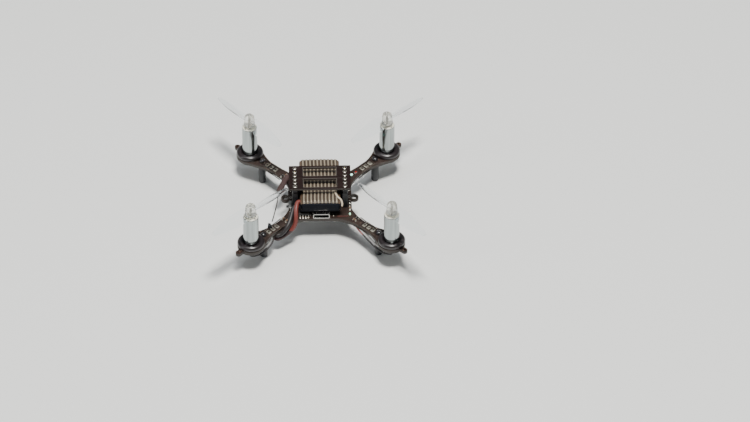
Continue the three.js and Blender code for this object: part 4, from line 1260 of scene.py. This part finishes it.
def build_battery(m):
    low, high = span("battery_sleeve")
    half = high.x
    stations = [(0, 0.42), (0.25, 0.16), (0.6, 0.04), (1.1, 0)]
    front_end = [(low.y + d, s) for d, s in stations]
    rear_end = [(high.y - d, s) for d, s in reversed(stations)]
    count = 14
    between = [low.y + 1.1 + (high.y - low.y - 2.2) * i / count for i in range(1, count)]
    levels = [*front_end, *((y, 0.05 * math.sin(y * 0.9)) for y in between), *rear_end]
    rings = []
    for y, squeeze in levels:
        sway = 0.05 * math.sin(y * 0.7)
        bow = FRONT_BOW * max(0, 1 - (y - low.y) / BOW_LENGTH)
        rings.append([(px + sway * (pz > BOW_LEVEL),
                       py + bow * (1 - (px / half) ** 2) * (pz > BOW_LEVEL), pz)
                      for px, py, pz in sleeve_ring(y, half, low.z, high.z, 1, abs(squeeze))])
    for y in (high.y - 0.05, low.y + 0.05):
        rings.append(sleeve_ring(y, half - 0.35, low.z + 0.35, high.z - 0.45, 0, 0.1))
    sleeve = loft(rings, closed=True)

    def sleeve_mark(corners):
        centre = sum(corners, Vector()) / len(corners)
        if abs(centre.x) < RIB_COUNT * RIB_PITCH / 2 and centre.z > high.z - 1.1:
            # groove faces take the darker brown as painted shade
            return 1 if rib_phase(centre.x) < 0.15 else 0
        # Painted shade: the lower faces at the front end take the near-black tape colour, and the rest
        # of the sleeve takes the dark brown painted shade of its sides.
        return 3 if centre.y < low.y + 1.2 and centre.z < high.z - 1.6 else 2

    mark_faces(sleeve, sleeve_mark)
    stand_in("battery_sleeve", sleeve, [m.rib, m.groove, m.wrap, m.tape], "battery_ribs", sharp=60)

    cell_low, cell_high = span("battery_cell")
    width, depth = cell_high.x - cell_low.x, cell_high.z - cell_low.z
    rings = []
    for i in range(12):
        t = i / 11
        y = cell_low.y + (cell_high.y - cell_low.y) * t
        end = min(1.0, (1 - abs(2 * t - 1)) * 6)
        swell = 0.86 + 0.14 * math.sqrt(end)
        outline = rectangle(0, 0, width * (0.97 + 0.03 * end), depth * swell, 1.2, 6)
        rings.append([(x, y, (cell_low.z + cell_high.z) / 2 + z) for x, z in outline])
    cell = loft(rings)
    seam = block(0, cell_high.y - 0.5, 17.6, (width - 1.0, 0.9, 0.25), 0.2, 0.05)
    stand_in("battery_cell", combined(cell, seam), m.foil, "battery_foil")

    end_low, end_high = span("battery_end")
    rings = []
    for y, shrink in ((end_high.y, 0), (end_low.y + 0.4, 0), (end_low.y + 0.12, 0.12),
                      (end_low.y, 0.45)):
        outline = rectangle(0, (end_low.z + end_high.z) / 2, end_high.x - end_low.x - 2 * shrink,
                            end_high.z - end_low.z - 2 * shrink, 1.0, 5)
        rings.append([(x, y, z) for x, z in outline])
    end = loft(rings)
    for x in (-5.2, -1.4, 2.6, 6.0):
        fold = [(x, end_low.y + 0.02, 16.2), (x + 0.3, end_low.y - 0.03, 17.8),
                (x - 0.2, end_low.y + 0.02, 19.6)]
        end.add(tube(fold, 0.09, 8))
    stand_in("battery_end", end, m.tape, "battery_end_tape")

    route = [(6.4, -5.6, 21.1), (6.8, -7.4, 21.15), (7.8, -10, 21), (9.3, -11.4, 20.3),
             (9.9, -12.6, 19.2), (9.9, -13.6, 18)]
    add_piece("wrap_loose_end", tube(route, 0.45, 14, 0.5), m.strap, "battery_ribs")


# ---------------- USB, module, switch, antenna


USB_CORNER = 0.75
USB_FLARE = 0.12  # the mouth stands this much proud of the shell behind it
USB_WALL = 0.3
USB_WINDOW_X = 1.9


def build_usb(m):
    low, high = span("usb_shell")
    x, z = (low.x + high.x) / 2, (low.z + high.z) / 2
    width, height = high.x - low.x, high.z - low.z

    def ring(y, grow, wall):
        outline = rectangle(x, z, width + 2 * grow - 2 * wall, height + 2 * grow - 2 * wall,
                            max(0.2, USB_CORNER + grow - wall), 6)
        return [(px, y, pz) for px, pz in outline]

    levels = [(low.y, 0.0), *((y, -USB_FLARE) for y in (low.y + 0.35, low.y + 0.7, high.y))]
    rings = [ring(y, grow, 0) for y, grow in levels]
    rings += [ring(y, grow, USB_WALL) for y, grow in reversed(levels)]
    shell = loft(rings, closed=True)
    for offset in (-USB_WINDOW_X, USB_WINDOW_X):
        window = block(x + offset, low.y + 2.7, high.z - 0.8, (1.0, 2.2, 1.2), 0.1, 0.0)
        shell = boolean(shell, window, "DIFFERENCE")
        spring = loft([
            [(x + offset - 0.3, y, zz), (x + offset + 0.3, y, zz), (x + offset + 0.3, y, zz + 0.1),
             (x + offset - 0.3, y, zz + 0.1)]
            for y, zz in ((low.y + 3.7, high.z - 0.35), (low.y + 2.6, high.z - 0.6),
                          (low.y + 1.9, high.z - 0.45))])
        shell.add(spring)
    for side in (-1, 1):
        foot = block(x + side * (width / 2 - 0.05), low.y + 3.4, BOARD_TOP, (0.5, 1.5, 1.1), 0.1, 0.08)
        shell.add(foot)
    stand_in("usb_shell", shell, m.steel, "usb_steel")

    rear = block(x, -10.6, low.z + 0.42, (width - 1.0, 1.6, height - 0.84), 0.2, 0.05)
    blade_plate = block(x, -12.9, z - 0.2, (5.4, 3.2, 0.5), 0.15, 0.08)
    tongue = combined(rear, blade_plate)
    for i in range(5):
        tongue.add(block(x + (i - 2) * 0.65, -12.95, z + 0.28, (0.36, 2.8, 0.06), 0, 0.02, 1))
    stand_in("usb_tongue", tongue, [m.header, m.gold], "black_plastic")


def build_module(m):
    low, high = span("processor_module")
    board = block(0, (low.y + high.y) / 2, high.z - 0.8, (high.x - low.x, high.y - low.y, 0.8),
                  0.1, 0.05, 1)
    shield = block(0, 1, low.z, (15.8, 15.6, 2.3), 0.9, 0.25, 0)
    dimple_ring = flat_ring(5.6, -4.2, 0.35, 0.6, low.z, low.z + 0.05, 24, 0)
    antenna = Shape()
    for i in range(6):
        x = -6.2 + i * 2.2
        antenna.add(strip([(x, 9.6), (x, 11.4), (x + 1.1, 11.4), (x + 1.1, 9.6), (x + 2.2, 9.6)],
                          0.35, high.z - 0.84, high.z - 0.79, 2))
    pads = Shape()
    for side in (-1, 1):
        for i in range(13):
            pads.add(block(side * 8.75, -6.7 + i * 1.27, high.z - 0.84, (0.62, 0.8, 0.9), 0.1, 0.02, 2))
    stand_in("processor_module", combined(board, shield, dimple_ring, antenna, pads),
              [m.shield, m.deck, m.tin], "shield_metal")


def build_switch(m):
    low, high = span("power_switch_body")
    y = (low.y + high.y) / 2
    case = prism(rectangle((low.x + high.x) / 2, y, high.x - low.x, high.y - low.y, 0.1),
                 BOARD_TOP + 0.02, high.z, 0.08)
    slot = block(low.x, y, 12.72, (1.5, 3.3, 0.76), 0, 0.0)
    case = boolean(case, slot, "DIFFERENCE")
    for offset in (-1.6, 0, 1.6):
        case.add(block(high.x + 0.25, y + offset, BOARD_TOP + 0.01, (0.6, 0.5, 0.12), 0.05, 0.02))
    stand_in("power_switch_body", case, m.steel, "switch_metal")
    low, high = span("power_switch_knob")
    knob = block((low.x + high.x) / 2, (low.y + high.y) / 2, low.z,
                 (high.x - low.x, high.y - low.y, high.z - low.z), 0.12, 0.08)
    for offset in (-0.3, 0, 0.3):
        knob.add(block(low.x + 0.45, (low.y + high.y) / 2 + offset, high.z - 0.03, (0.7, 0.12, 0.06),
                       0, 0.01))
    stand_in("power_switch_knob", knob, m.header, "black_plastic", "power_switch_slider")


def build_antenna(m):
    route = [(-14.5, 14.3, 13.2), (-16.7, 8.7, 13.25), (-18.75, 3.3, 13.2)]
    stand_in("antenna_sleeve", tube(route, 1.4, 24, 0.5, 10), m.sleeve, "antenna_sleeve")
    wire = [(-18.7, 3.6, 13.2), (-19.8, -5.6, 13.3), (-20.9, -12.2, 13.5), (-22.1, -18.6, 13.8)]
    stand_in("antenna_wire", tube(wire, 0.25, 12), m.black, "black_wire")
    low, high = span("antenna_clip")
    profile = [(low.x, BOARD_TOP), (low.x + 2.2, BOARD_TOP), (low.x + 1.3, high.z - 0.2),
               (low.x + 0.2, high.z)]
    clip = from_xz(rounded(profile, 0.25), low.y, high.y, 0.1)
    stand_in("antenna_clip", clip, m.leg, "black_plastic")


# ---------------- the whole model


BUILDERS = (
    build_main_board, build_board_pads, build_small_parts, build_status_lights, build_top_deck,
    build_headers, build_motors, build_propellers, build_legs, build_wires, build_connector,
    build_battery, build_usb, build_module, build_switch, build_antenna,
)

add_camera()
add_stage()
materials = make_materials()
for build in BUILDERS:
    build(materials)
